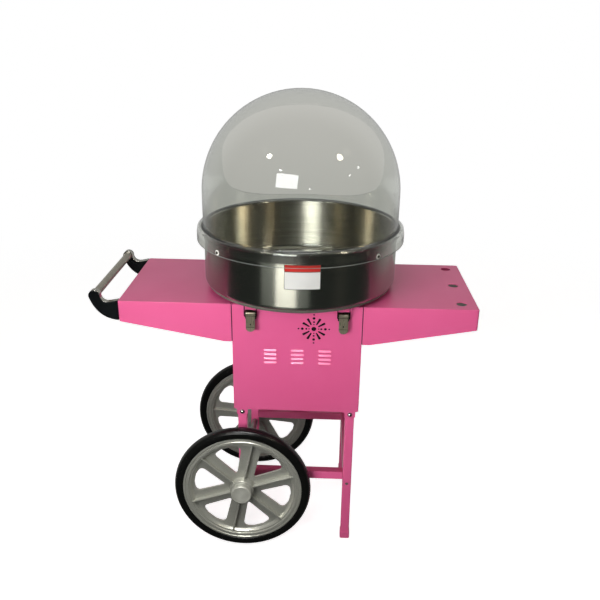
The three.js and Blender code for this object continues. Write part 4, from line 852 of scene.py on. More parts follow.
def spokeRib(size, side, angle):
    half, plane, root, end = size["ribThick"] / 2, side * size["y"], size["ribRoot"], size["ribEnd"]
    corners = [onWheel(side, radius, angle + math.degrees(math.asin(across / radius)))
               for radius, across in ((root, -half), (end, -half), (end, half), (root, half))]
    return plate("rib", corners, "y", *sorted((plane - side * size["ribHalf"], plane + side * size["ribTop"])))


def makeWheel(size, face, side):
    def turnedPart(name, profile, steps, closed=True):
        sided = [(radius, height * side) for radius, height in profile]
        return spun(name, sided, size["x"], side * size["y"], size["z"], "y", steps, closed)

    half, hub, hubFace, bore = size["webHalf"], size["hub"], size["hubFace"], size["bore"]
    inboard, boss = size["hubInner"] - size["y"], size["hubBoss"]
    outside = [(size["seat"], size["seatHalf"]), (size["rimOuter"], size["seatHalf"]), *rimFace]
    inside = [(radius, -height) for radius, height in reversed(outside)]
    middle = [(hub, half), (hub - 1.4, 13), (hub - 2, hubFace - 1.5), (hub - 3.5, hubFace), (bore, hubFace),
              (bore, inboard), (boss, inboard), (boss, inboard + 4), (23, -14), (33, -12), (hub, -half)]
    rim = turnedPart("rim", [*outside, *middle, *inside], 120)
    step = 360 / size["spokes"]
    angles = [step * number + size["turns"][face] for number in range(size["spokes"])]
    cutAway(rim, *[spokeWindow(size, side, angle + step / 2) for angle in angles])
    unite(rim, together("ribs", *[soften(spokeRib(size, side, angle), 0.9, 3) for angle in angles]))
    cutAway(rim, rod("tool", bore, -60, 60, size["x"], side * size["y"], size["z"], "y", 32))
    soften(rim, 0.8, 2, 50)
    rim.name = "wheel_rim_" + face
    rider = face + "_wheel"
    finish(rim, "casting", rider + "_rim", body=rider)
    section = [*tyreSide, *[(radius, -height) for radius, height in reversed(tyreSide[:-1])]]
    tyre = spun("wheel_tyre_" + face, section, size["x"], side * size["y"], size["z"], "y", 128)
    finish(soften(tyre, 0.7, 2, 40), "tyre", rider + "_tyre", body=rider)
    low, high, radius, edge = size["capLow"], size["capHigh"], size["cap"], size["capEdge"]
    cap = [(radius, low), (radius + 0.6, low), (radius + 0.6, low + 2), (radius, low + 2.6),
           *arc(edge, 0, 90, 6, radius - edge, high - edge), (radius - edge - 1.5, high - 0.5), (0, high - 0.5),
           (0, high - 3), (radius - edge, high - 3), (radius - 2.5, high - edge - 1), (radius - 2.5, low)]
    finish(turnedPart("wheel_cap_" + face, cap, 72), "castingBright", face + "_hub_cap", body=rider, smooth=30)


def makeAxle(size):
    parts, tube, pin, end = [], size["axle"], size["pin"], size["axleHalf"]
    nut = size["y"] + size["hubFace"] + 0.3
    stub = [(0, end), (tube, end), (tube, end + 7.4), (tube - 0.6, end + 7.9), (pin, end + 7.9), (pin, nut + 7.7),
            (pin - 0.9, nut + 8.7), (0, nut + 8.7)]
    for side in (-1, 1):
        parts.append(spun("stub", [(r, h * side) for r, h in stub], size["x"], 0, size["z"], "y", 40, False))
        corners = [(size["x"] + size["nut"] * math.cos(math.radians(turn)),
                    size["z"] + size["nut"] * math.sin(math.radians(turn))) for turn in range(0, 360, 60)]
        low, high = sorted((side * nut, side * (nut + size["nutThick"])))
        parts.append(soften(plate("nut", corners, "y", low, high), 0.7))
    parts.append(spun("tube", [(tube, -end), (tube, end)], size["x"], 0, size["z"], "y", 40, False))
    axle = together("axle_rod", *parts)
    cleanUp(axle)
    finish(axle, "zinc", "axle")


# Push handle
handle = {
    "start": -466.3, "foot": 684.5, "top": 738.7, "tip": (-526.5, 751), "tipRadius": 14.5,
    "lowerBend": (-522, 688), "upperBend": (-508, 731), "run": (-489, 733.8), "enter": 190, "sweep": 200,
    "armInner": 155, "armOuter": 170.7, "coverInner": 171, "coverOuter": 175.5, "bar": 10.5, "barEnd": 154.7,
    "pocket": 1.2, "trim": 2.6,
}


def curveThrough(start, control, end, steps):
    shares = [i / steps for i in range(steps + 1)]
    return [tuple((1 - s) ** 2 * a + 2 * s * (1 - s) * c + s ** 2 * b for a, c, b in zip(start, control, end))
            for s in shares]


# Side outline of an arm, drawn in by the trim where it is a pocket or its inlay
def armOutline(size, trim=0.0):
    tipX, tipZ = size["tip"]
    tip = arc(size["tipRadius"] - trim, size["enter"], size["enter"] - size["sweep"], 16, tipX, tipZ)
    start = size["start"] - trim
    lower = (size["lowerBend"][0] + 0.7 * trim, size["lowerBend"][1] + trim)
    upper = (size["upperBend"][0] + 0.2 * trim, size["upperBend"][1] - trim)
    run = (size["run"][0], size["run"][1] - trim)
    return [*curveThrough((start, size["foot"] + trim), lower, tip[0], 14), *tip[1:],
            *curveThrough(tip[-1], upper, run, 8)[1:], (start, size["top"] - trim * 1.3)]


def makeHandle(size):
    inner, outer, pocket, depth = size["armInner"], size["armOuter"], size["trim"], size["pocket"]
    for face, side in faces.items():
        def layer(name, trim, low, high):
            return plate(name, armOutline(size, trim), "y", *sorted((side * low, side * high)))

        arm = cutAway(layer("arm", 0.0, inner, outer), layer("tool", pocket, inner - 1, inner + depth))
        soften(arm, 0.8, 3)
        arm.name = "handle_arm_" + face
        finish(arm, "chrome", face + "_handle_arm")
        inlay = layer("handle_inlay_" + face, pocket + 0.25, inner + 0.35, inner + depth - 0.05)
        finish(soften(inlay, 0.3), "black")
        cover = layer("handle_cover_" + face, 0.0, size["coverInner"], size["coverOuter"])
        finish(soften(cover, 1.6, 4), "black", face + "_handle_cover")
    radius, end = size["bar"], size["barEnd"]
    half = [(0, end), (radius + 1.6, end), (radius + 1.6, end - 3.4), (radius + 1, end - 4), (radius, end - 4.4)]
    profile = [*half, *[(r, -y) for r, y in reversed(half)]]
    bar = spun("handle_tube", profile, size["tip"][0], 0, size["tip"][1], "y", 48, False)
    finish(soften(bar, 0.4), "barSteel", "handle_bar")


# Toggle latches, drawn once on the cart's middle and copied to their four places
latch = {
    "x": 120, "y": 175, "pinZ": 717, "pinOut": 9, "pin": 2, "lever": 11.75, "sheet": 1.5, "gap": 0.3, "knuckle": 4,
    "bend": 37, "length": 49, "tilt": 9, "tabCorner": 11, "hole": 2, "holeRise": 7, "cheekLow": 705,
    "creases": (5.4, 37), "creaseShadeHalf": 0.55, "holeShade": (5, 679.5, 6.5, 1.4),
    "plateHalf": 14.75, "plateLow": 699, "plateHigh": 724, "ear": 4,
    "bailDrop": 8, "bailHalf": 15.6, "bailTopOut": 7, "bailTop": 745.3, "bailWire": 1.4, "bailBend": 3,
    "hookHalf": 10, "hookBack": 3, "hookSeat": 743.6, "hookLip": 2.6,
}


def makeLatchBase(size):
    sheet, gap, pinZ, out = size["sheet"], size["gap"], size["pinZ"], size["pinOut"]
    half, ear, inner, pin = size["plateHalf"], size["ear"], size["lever"] + size["gap"], size["pin"]
    base = box("base", -half, half, -gap - sheet, -gap, size["plateLow"], size["plateHigh"], 2, "y")
    seat = -gap - sheet
    corners = [(seat + 0.2, pinZ - ear - 1.5), *arc(ear, -90, -270, 12, -out, pinZ), (seat + 0.2, pinZ + ear + 1.5)]
    unite(base, *[plate("ear", corners, "x", *sorted((way * inner, way * (inner + sheet)))) for way in (-1, 1)])
    reach = inner + sheet
    end = [(0, -reach - 1.2), (2.6, -reach - 1), (2.8, -reach - 0.3), (2.8, -reach), (pin, -reach)]
    axle = spun("pin", [*end, *[(r, -x) for r, x in reversed(end)]], 0, -out, pinZ, "x", 24, False)
    rivet = [(0, seat + 0.2), (2.6, seat + 0.2), (2.4, seat - 0.9), (1.4, seat - 1.5), (0, seat - 1.7)]
    rivets = [spun("rivet", rivet, x, 0, size["plateLow"] + 6, "y", 20, False) for x in (-8, 8)]
    return together("base", soften(base, 0.3), axle, *rivets)


def makeLatchLever(size):
    sheet, gap, pinZ, out, lever = size["sheet"], size["gap"], size["pinZ"], size["pinOut"], size["lever"]
    front, bendZ, low = -out - size["knuckle"], pinZ - size["bend"], pinZ - size["length"]
    strap = box("lever", -lever, lever, front, front + sheet, bendZ, pinZ)
    tab = plate("tab", [(-lever, bendZ + 0.6), (-lever, low, size["tabCorner"]), (lever, low, size["tabCorner"]),
                        (lever, bendZ + 0.6)], "y", front, front + sheet, steps=8)
    settle(tab, turned(-size["tilt"], "X", 0, front, bendZ))
    roll = rod("roll", size["knuckle"], -lever, lever, 0, -out, pinZ, "x", 32)
    cheek = [(front + sheet / 2, size["cheekLow"]), (4 - out, size["cheekLow"], 2), (4 - out, pinZ),
             (front + sheet / 2, pinZ)]
    cheeks = [plate("cheek", cheek, "x", *sorted((way * (lever - sheet), way * lever))) for way in (-1, 1)]
    unite(strap, tab, roll, *cheeks)
    holeZ, hole = bendZ + size["holeRise"], size["hole"]
    drop = [(0, holeZ + hole * 2.3), *arc(hole, 30, -210, 14, 0, holeZ)]
    # Painted shade: thin dark strips across the lever, under the roll and along the tab's fold, where lines of shadow
    # fall
    thick, end = size["creaseShadeHalf"], lever - 0.2
    creases = [box("crease", -end, end, front - 0.12, front + 0.6, pinZ - down - thick, pinZ - down + thick)
               for down in size["creases"]]
    crease = soften(together("creases", *creases), 0.1)
    drills = [rod("tool", radius + gap, -lever - 4, lever + 4, 0, -out, pinZ - down, "x")
              for radius, down in ((size["pin"], 0), (size["bailWire"], size["bailDrop"]))]
    cutAway(strap, *drills, plate("tool", drop, "y", front - 1, front + 3))
    return soften(strap, 0.35), crease


def makeLatchBail(size):
    side, low, inside = size["bailHalf"], size["pinZ"] - size["bailDrop"], size["lever"] - size["sheet"]
    out = size["pinOut"]
    half = [(-inside, -out, low), (-side, -out, low), (-side, -size["bailTopOut"], size["bailTop"])]
    points = [at(*point) for point in [*half, *[(-x, y, z) for x, y, z in reversed(half)]]]
    return wire("bail", bend(points, size["bailBend"]), size["bailWire"])


def makeLatches(size):
    base = makeLatchBase(size)
    lever, crease = makeLatchLever(size)
    # The lever's creases carry painted shade in the dark wire's finish
    kinds = [("base", base, "darkSteel"), ("lever", lever, "nickel"), ("bail", makeLatchBail(size), "darkWire"),
             ("crease", crease, "darkWire")]
    wide, middle, tall, thick = size["holeShade"]
    for place, side, way in quarters:
        spot = atQuarter(side, way, size["x"], size["y"])
        riders = {"base": "cart", "bail": "bail_" + place}
        for kind, part, look in kinds:
            piece = copyOf(part, "toggle_%s_%s" % (kind, place), spot)
            rider = riders.get(kind, "lever_" + place)
            if kind == "crease":
                finish(piece, look, body=rider, slotName="latch_steel")
            else:
                finish(piece, look, "latch_%s_%s" % (kind, place), body=rider)
        # Painted shade: a pad in the dark rubber finish on the cabinet behind each lever's hole, so that the hole
        # reads dark
        holeShade = box("lever_buffer_" + place, -wide, wide, -thick, -0.1, middle - tall, middle + tall, 3, "y")
        finish(soften(settle(holeShade, spot), 0.4), "seal")
    throwOut(*[part for kind, part, look in kinds])


# Hooks under the bowl, which the bails pull on
def makeHooks(size):
    seat, sheet, back, rise = size["hookSeat"], size["sheet"], size["hookBack"], size["hookLip"]
    lip, high, low = -size["bailTopOut"] - size["bailWire"] - 2, bowl["base"] + 0.6, seat - sheet
    corners = [(back, high), (back - sheet, high), (back - sheet, seat), (lip, seat), (lip, seat + rise),
               (lip - sheet, seat + rise), (lip - sheet, low, 1.6), (back, low, 1.6)]
    hook = soften(plate("hook", corners, "x", -size["hookHalf"], size["hookHalf"]), 0.3)
    for place, side, way in quarters:
        piece = copyOf(hook, "bowl_hook_" + place, atQuarter(side, way, size["x"], size["y"]))
        finish(piece, "darkSteel", slotName="bowl_steel")
    throwOut(hook)


# Spinner head, heater side up
head = {
    "radius": 62, "floor": 775, "sheet": 1.5, "corner": 4, "lip": 782, "bore": 5.4,
    "bandLow": 782.3, "bandHigh": 804.3, "slots": 12, "slotHalf": 2.5, "slotEdge": 4, "slotCorner": 2,
    "capLow": 804.6, "tube": 14, "tubeFoot": 779.5, "screws": 3, "screwRing": 40, "screwHole": 1.9,
}


def makeHead(size):
    radius, sheet, corner, floor = size["radius"], size["sheet"], size["corner"], size["floor"]
    rise, lip, inner, bore = floor + corner, size["lip"], radius - sheet, size["bore"]
    riding = {"body": "spinner"}
    base = spun("spinner_dish", [
        (bore, floor), *arc(corner, -90, 0, 6, radius - corner, rise), (radius, lip - 0.5), (radius - 0.4, lip),
        (inner + 0.4, lip), (inner, lip - 0.5), *arc(corner - sheet, 0, -90, 5, radius - corner, rise),
        (22, floor + sheet), (20, floor + sheet + 0.6), (14, floor + sheet + 0.6), (12, floor + sheet),
        (bore, floor + sheet)], steps=72)
    finish(base, "headMetal", "spinner_base", **riding)
    low, high = size["bandLow"], size["bandHigh"]
    band = spun("spinner_ring", [
        (inner, low), (radius, low), (radius, low + 2.4), (radius - 0.5, low + 3), (radius - 0.5, high - 3),
        (radius, high - 2.4), (radius, high), (inner, high)])
    slots, half, edge = [], size["slotHalf"], size["slotEdge"]
    outline = rectangle(-half, half, low + edge, high - edge, size["slotCorner"])
    for number in range(size["slots"]):
        slot = plate("tool", outline, "x", inner - 3, radius + 3)
        slot.matrix_world = turned((number + 0.5) * 360 / size["slots"], "Z")
        slots.append(slot)
    cutAway(band, *slots)
    finish(soften(band, 0.25, 2, 40), "headMetal", "spinner_band", **riding)
    low, tube = size["capLow"], size["tube"]
    top = low + sheet
    cap = spun("spinner_lid", [
        (tube - sheet, size["tubeFoot"]), (tube, size["tubeFoot"]), (tube, low), (radius - 0.4, low),
        (radius, low + 0.4), (radius, top - 0.4), (radius - 0.4, top), (48, top), (46.5, top - 0.5), (45, top - 0.5),
        (43.5, top), (tube + 5, top), (tube + 3, top + 0.6), (tube + 1.4, top + 2), (tube - sheet + 0.4, top + 2),
        (tube - sheet, top + 1.6)], steps=72)
    screw = [(0, top + 1.4), (2.4, top + 1.1), (3.3, top + 0.2), (3.3, top + 0.02), (0, top + 0.02)]
    tools, screws = [], []
    for number in range(size["screws"]):
        turn = math.radians(360 / size["screws"] * number + 30)
        x, y = size["screwRing"] * math.cos(turn), size["screwRing"] * math.sin(turn)
        tools.append(rod("tool", size["screwHole"], low - 1, top + 1, x, y, steps=20))
        screws.append(spun("screw", screw, x, y, steps=20, closed=False))
    cutAway(cap, *tools)
    finish(cap, "headMetal", "spinner_cap", **riding)
    finish(together("spinner_screws", *screws), "zinc", slotName="spinner_steel", **riding)


# Operator's side: control panel, two rocker switches, meter, cord gland and drawer
panel = {
    "half": 98, "low": 622, "high": 716, "back": 175.3, "face": 176.8, "corner": 5, "middle": 669,
    "screwX": 90, "screwZ": 39, "screwHead": 3.4, "switches": {"power": (20, "green"), "heat": (62, "red")},
    "frameHalf": (13, 17), "frameRim": 2.5, "frameDepth": 24, "well": (8.5, 13.1), "wellDepth": 13, "lap": 1.5,
    "rockerHalf": 8.2, "rockerLength": 11.5, "rockerPivot": 172.6, "rockerTilt": 8,
    "meterX": -52, "meterCase": 22.5, "meterBezel": 26, "meterRise": 3.5, "meterHollow": 20, "meterDepth": 28,
    "needlePivot": 659, "needleLength": 23, "needleTail": 4, "needleLow": 176.9, "needleHigh": 177.7,
    "needleBore": 1.3, "needleRest": 45,
    "dialRadius": 23.4, "dialTick": 2.2, "dialLong": 3.4, "dialSpan": 45, "dialMarks": 15, "dialText": 17,
    "dialTextSize": 4.2,
    "gland": (145, 470), "glandRadius": 9, "glandBore": 4, "glandInner": 167, "glandOuter": 179,
}


# A pan head with a cross recess
def panHead(name, x, y, z, radius):
    profile = [(0, 0), (radius, 0), (radius, 0.5), (radius * 0.8, 1.3), (radius * 0.3, 1.7), (0, 1.7)]
    screw = spun(name, profile, x, y, z, "y", 24, False)
    bars = [box("tool", x - wide, x + wide, y + 0.9, y + 2.4, z - tall, z + tall)
            for wide, tall in ((0.45, radius * 0.6), (radius * 0.6, 0.45))]
    for bar in bars:
        cutAway(screw, bar)
    return screw


def makePanel(size):
    half, back, face, middle = size["half"], size["back"], size["face"], size["middle"]
    plain = box("operator_panel", -half, half, back, face, size["low"], size["high"], size["corner"], "y")
    wide, tall = (length - size["lap"] for length in size["frameHalf"])
    tools = [box("tool", x - wide, x + wide, back - 1, face + 1, middle - tall, middle + tall, 1, "y")
             for x, look in size["switches"].values()]
    tools.append(rod("tool", size["meterCase"] + 0.3, back - 1, face + 1, size["meterX"], 0, middle, "y", 64))
    cutAway(plain, *tools)
    finish(soften(plain, 0.4), "panel", "control_panel")
    screws = [panHead("screw", x, face + 0.02, middle + z, size["screwHead"])
              for x in (-size["screwX"], size["screwX"]) for z in (-size["screwZ"], size["screwZ"])]
    finish(together("panel_screws", *screws), "zinc")


def makeSwitch(size, name, x, look):
    middle, face = size["middle"], size["face"] + 0.3
    front = face + size["frameRim"]

    def upright(pieceName, half, low, high, corner):
        return box(pieceName, x - half[0], x + half[0], low, high, middle - half[1], middle + half[1], corner, "y")

    bezel = upright(name, size["frameHalf"], face, front, 2.4)
    inside = [length - size["lap"] - 0.3 for length in size["frameHalf"]]
    unite(bezel, upright("body", inside, face - size["frameDepth"], face + 0.5, 1))
    cutAway(bezel, upright("tool", size["well"], front - size["wellDepth"], front + 1, 0.8))
    soften(bezel, 0.6, 3)
    bezel.name = "switch_bezel_" + name
    finish(bezel, "black", name + "_switch_frame")
    pivot, half, length = size["rockerPivot"], size["rockerHalf"], size["rockerLength"]
    hollow = [(pivot + 6.2 + 1.8 * (z / length) ** 2, middle + z) for z in
              [length * (1 - i / 7) for i in range(15)]]
    profile = [(pivot - 3, middle - 5), (pivot - 3, middle + 5), (pivot + 5, middle + length), *hollow,
               (pivot + 5, middle - length)]
    cap = soften(plate("rocker", profile, "x", x - half, x + half), 0.5, 3, 40)
    line = box("mark", x - 0.4, x + 0.4, pivot + 7, pivot + 7.35, middle + 5, middle + 9, 0.2, "y")
    circle = ring("mark", 1.5, 2.2, pivot + 7, pivot + 7.3, x, 0, middle - 7, "y", 28)
    rocker, tilt = name + "_rocker", turned(size["rockerTilt"], "X", x, pivot, middle)
    settle(cap, tilt)
    cap.name = "rocker_cap_" + name
    finish(cap, look, rocker, body=rocker)
    marks = settle(together("rocker_marks_" + name, line, circle), tilt)
    finish(marks, "white", body=rocker)


# Numbers and marks stand a little proud of the dial, facing the operator
def makeNumber(text, x, z, height, face):
    focus(None)
    bpy.ops.object.text_add()
    number = bpy.context.object
    number.data.body = text
    number.data.size = height / 1000
    number.data.align_x = "CENTER"
    number.data.align_y = "CENTER"
    number.data.extrude = 0.00005
    bpy.ops.object.convert(target="MESH")
    turn = Matrix(((-1, 0, 0), (0, 0, 1), (0, 1, 0))).to_4x4()
    return settle(bpy.context.object, Matrix.Translation(at(x, face, z)) @ turn)


def makeMeter(size):
    x, middle, face, pivot = size["meterX"], size["middle"], size["face"] + 0.3, size["needlePivot"]
    bezel, hollow, case, deep = size["meterBezel"], size["meterHollow"], size["meterCase"], size["meterDepth"]
    front, floor = face + size["meterRise"], face - 1

    def turnedPart(name, profile, z=middle, steps=64, closed=False):
        return spun(name, profile, x, 0, z, "y", steps, closed)

    shell = turnedPart("meter_housing", [
        (0, face - deep), (case - 2, face - deep), (case, face - deep + 2), (case, face), (bezel, face),
        (bezel, front - 1.6), (bezel - 1.6, front), (hollow + 1.8, front), (hollow, front - 1.4), (hollow, floor),
        (0, floor)], steps=80)
    stud = [(0, floor), (1, floor), (1, floor + 2.2), (0.6, floor + 2.6), (0, floor + 2.6)]
    finish(together("meter_housing", shell, turnedPart("pin", stud, pivot, 20)), "black", "meter_case")
    dial = turnedPart("meter_dial", [(0, floor + 0.02), (hollow - 0.2, floor + 0.02), (hollow - 0.2, floor + 0.3),
                                     (1.3, floor + 0.3), (0, floor + 0.3)])
    finish(dial, "white")
    marks, mark, outer, reach = [], floor + 0.32, size["dialRadius"], size["dialText"]
    for number in range(size["dialMarks"] + 1):
        angle = size["dialSpan"] * (1 - 2 * number / size["dialMarks"])
        long = number % 5 == 0
        length, half = size["dialLong" if long else "dialTick"], 0.28 if long else 0.16
        tick = box("tick", x - half, x + half, mark, mark + 0.08, pivot + outer - length, pivot + outer, 0, "y")
        tick.matrix_world = turned(angle, "Y", x, 0, pivot)
        marks.append(tick)
        if long:
            lean = math.radians(angle)
            marks.append(makeNumber(str(number), x + reach * math.sin(lean), pivot + reach * math.cos(lean),
                                    size["dialTextSize"], mark + 0.05))
    finish(together("meter_scale", *marks), "black", smooth=0)
    lens = turnedPart("meter_lens", [(0, front - 1), (hollow - 0.1, front - 1), (hollow - 0.1, front - 2),
                                     (0, front - 2)])
    finish(lens, "acrylic")
    low, high, tail, tip = size["needleLow"], size["needleHigh"], size["needleTail"], size["needleLength"]
    bore = size["needleBore"]
    blade = plate("meter_pointer", [(x - 1.3, pivot - tail, 0.4), (x + 1.3, pivot - tail, 0.4), (x + 0.3, pivot + tip),
                                    (x - 0.3, pivot + tip)], "y", low, high)
    boss = turnedPart("boss", [(bore, low), (2.6, low), (2.6, high), (2.2, high + 0.4), (bore, high + 0.4)], pivot, 28,
                      True)
    cutAway(blade, rod("tool", bore, low - 1, high + 1, x, 0, pivot, "y", 20))
    needle = settle(together("meter_pointer", blade, boss), turned(size["needleRest"], "Y", x, 0, pivot))
    finish(needle, "black", "meter_needle", body="meter_needle")


def makeGland(size):
    x, z = size["gland"]
    back, front, inner = size["back"], size["glandOuter"], size["glandInner"]
    radius, bore = size["glandRadius"], size["glandBore"]
    gland = spun("cord_bushing", [
        (bore, inner), (radius - 2, inner), (radius - 2, back), (radius, back), (radius, back + 1.4),
        (radius - 0.8, back + 2), (radius - 2, front - 0.6), (radius - 3, front), (bore + 0.8, front),
        (bore, front - 0.8)], x, 0, z, "y", 48)
    finish(gland, "black", "cord_gland")


drawerBox = {
    "half": 109, "back": -104.7, "front": 175.3, "low": 457, "high": 547, "wall": 1.2, "lap": 11, "plate": 2,
    "corner": 5, "pull": (45, 502), "pullWire": 4, "pullFace": 177.6, "pullReach": 22, "pullBend": 8,
}


def makeDrawer(size):
    half, wall, low, high = size["half"], size["wall"], size["low"], size["high"]
    back, front, lap = size["back"], size["front"], size["lap"]
    tray = box("drawer_tray", -half, half, back, front + 1, low, high, 2)
    cutAway(tray, box("tool", -half + wall, half - wall, back + wall, front - 0.001, low + wall, high + 2, 1))
    unite(tray, box("front", -half - lap, half + lap, front, front + size["plate"], low - lap, high + lap,
                    size["corner"], "y"))
    finish(soften(tray, 0.4), "pink", "drawer", body="drawer")
    (reach, z), face = size["pull"], size["pullFace"]
    out = face + size["pullReach"] - size["pullWire"] / 2
    points = [at(-reach, face, z), at(-reach, out, z), at(reach, out, z), at(reach, face, z)]
    pull = wire("pull", bend(points, size["pullBend"], 8), size["pullWire"], 20)
    foot = [(0, face), (5.6, face), (5.6, face + 0.8), (4.6, face + 1.6), (0, face + 1.6)]
    feet = [spun("foot", foot, x, 0, z, "y", 32, False) for x in (-reach, reach)]
    finish(together("drawer_handle", pull, *feet), "chrome", "drawer_pull", body="drawer")


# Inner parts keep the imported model's own mesh and get their finishes
innerFinishes = {
    "cabinet_floor": "pink", "motor_bracket": "zinc", "motor": "motor", "brush_holder": "brass",
    "spinner_shaft": "headMetal", "heating_ring": "darkWire", "drawer_rail_left": "zinc",
    "drawer_rail_right": "zinc",
}


def dressInnerParts(names):
    for node, look in names.items():
        for materialSlot in frame["nodes"][node].material_slots:
            materialSlot.material = finishes[look][0]


makeBowl(bowl)
makeHooks(latch)
makeNamePlate(namePlate)
print("bowl made")
makeDome(dome)
print("dome made")
makeFrontPanel(cabinet)
makeCabinetShell(cabinet)
print("cabinet made")
makeShelf("right", shelf)
makeShelf("left", shelf)
print("shelves made")
makeLegs(leg)
makeBars(leg)
print("legs made")
for face, side in faces.items():
    makeWheel(wheel, face, side)
makeAxle(wheel)
print("wheels made")
makeHandle(handle)
makeLatches(latch)
print("handle and latches made")
makeHead(head)
makePanel(panel)
for name, (x, look) in panel["switches"].items():
    makeSwitch(panel, name, x, look)
makeMeter(panel)
makeGland(panel)
makeDrawer(drawerBox)
dressInnerParts(innerFinishes)
print("head and operator's side made")


# Studio: a pale floor, and a room that is dim in front and grey behind for what the steel and the dome show
# A lamp stands at a turn and a rise from the aim and lights all, or only the pieces named, or skips some
roomLamps = {
    "window": {"turn": -14, "rise": 20.4, "size": (1050, 660), "power": 17.5, "skips": ["bar_"]},
    "lampLeft": {"turn": -43.9, "rise": 41.8, "far": 2500, "size": (250, 250), "power": 3.2, "tint": "#FFF8EC",
                 "shape": "DISK"},
    "lampRight": {"turn": 56.3, "rise": 39.3, "far": 2500, "size": (280, 280), "power": 3.8, "tint": "#FFF1DC",
                  "shape": "DISK"},
}
# Small glints on the dome: turn, rise, size and power
sparks = {
    "sparkHigh": (73.7, 23.8, (90, 60), 0.4), "sparkMiddle": (59.7, 20.3, (120, 50), 0.4),
    "sparkLeft": (-23.1, 30.7, (120, 60), 0.4), "sparkLow": (11.5, 12.9, (110, 50), 0.15),
}
# Bands of light round the bowl: piece, turn, rise, size, power and tint
bands = {
    "bowlBand": ("bowl_pan", -13, -6, (900, 1300), 18, "#FFFCF2"),
    "bowlHaze": ("bowl_pan", -14, -6, (2300, 1300), 6.5, "#F8FFF6"),
    "bowlInside": ("bowl_lining", -13, 18, (780, 900), 114, "#FFFDF0"),
    "bowlGoldRight": ("bowl_lining", 86, 18, (380, 800), 44, "#FFE3B4"),
    "bowlGoldLeft": ("bowl_lining", -100, 18, (350, 800), 27, "#FFE3B4"),
    "bowlBrown": ("bowl_lining", 46, 20, (160, 700), 1.1, "#FFB080"),
    "bowlGreen": ("bowl_lining", -38, 20, (260, 700), 1.8, "#D4FFE0"),
}
pieceLamps = {
    "bowlTop": {"turn": 0, "rise": 88, "far": 1700, "size": (1500, 1500), "power": 22, "tint": "#FFFDF6",
                "lights": ["bowl_bead"]},
    "louvreLight": {"turn": -10, "rise": 33, "size": (900, 160), "power": 28, "lights": ["louvre_hoods"]},
    "ridge": {"turn": 0, "rise": 65, "size": (2400, 40), "power": 11,
              "lights": ["shelf_left", "shelf_right", "cabinet_lid"]},
    "knuckles": {"turn": -5, "rise": 35, "size": (1100, 220), "power": 40, "tint": "#FFFFFA",
                 "lights": ["toggle_lever"]},
    "holes": {"turn": 0, "rise": 70, "size": (600, 600), "power": 15, "tint": "#EAFFF4", "lights": ["cone_rest"],
              "through": True},
    "trim": {"turn": -12, "rise": 60, "size": (1700, 700), "power": 40,
             "lights": ["toggle_", "dome_screw", "dome_washer", "handle_tube", "handle_arm"]},
    "bolts": {"turn": -20, "rise": -10, "size": (900, 900), "power": 60, "lights": ["leg_bolt"]},
    "wheelTop": {"turn": -12, "rise": 58, "size": (2000, 700), "power": 125, "tint": "#FFFFFA",
                 "lights": ["wheel_rim", "wheel_cap", "axle_rod"]},
    "tyreLine": {"turn": -12, "rise": 66, "size": (1500, 160), "power": 32, "lights": ["wheel_tyre"]},
    "low": {"turn": -20, "rise": -16, "size": (1500, 500), "power": 9, "lights": ["post_"]},
    "bars": {"turn": -20, "rise": -19, "size": (1500, 500), "power": 33, "lights": ["bar_"]},
    "wheelFront": {"turn": -30, "rise": 15, "size": (1400, 1200), "power": 45, "tint": "#FFFFFA",
                   "lights": ["wheel_rim", "wheel_cap", "axle_rod"], "hidden": True},
    "behind": {"turn": 172, "rise": -13, "size": (1800, 400), "power": 11, "hidden": True, "spread": 70},
    "front": {"turn": -40, "rise": 0, "size": (1200, 900), "power": 5.5, "hidden": True, "spread": 48,
              "skips": ["bar_"]},
}
lampAim = (0, 0, 1080)
floorEdge = (1.6, 3.4)  # metres from the cart, where the floor passes into the white of the backdrop


def makeLamp(name, size):
    light = bpy.data.lights.new(name, "AREA")
    light.shape = size.get("shape", "RECTANGLE")
    light.size, light.size_y = (length / 1000 for length in size["size"])
    light.energy = size["power"]
    light.color = colour(size.get("tint", "#FFFFFF"))[:3]
    light.spread = math.radians(size.get("spread", 180))
    lamp = bpy.data.objects.new(name, light)
    bpy.context.scene.collection.objects.link(lamp)
    turn, rise = math.radians(size["turn"]), math.radians(size["rise"])
    way = Vector((math.sin(turn) * math.cos(rise), -math.cos(turn) * math.cos(rise), math.sin(rise)))
    facing = way.to_track_quat("Z", "Y").to_matrix().to_4x4()
    lamp.matrix_world = Matrix.Translation(at(*lampAim) + way * size.get("far", 2600) / 1000) @ facing
    linked = size.get("lights", size.get("skips"))
    if linked:
        group = bpy.data.collections.new(name + "Group")
        for piece in bpy.data.objects:
            if piece.name.startswith(tuple(linked)):
                group.objects.link(piece)
        for item in group.collection_objects:
            item.light_linking.link_state = "EXCLUDE" if size.get("skips") else "INCLUDE"
        lamp.light_linking.receiver_collection = group
        if size.get("through"):
            lamp.light_linking.blocker_collection = group
    if size.get("hidden"):
        lamp.visible_glossy = lamp.visible_transmission = False


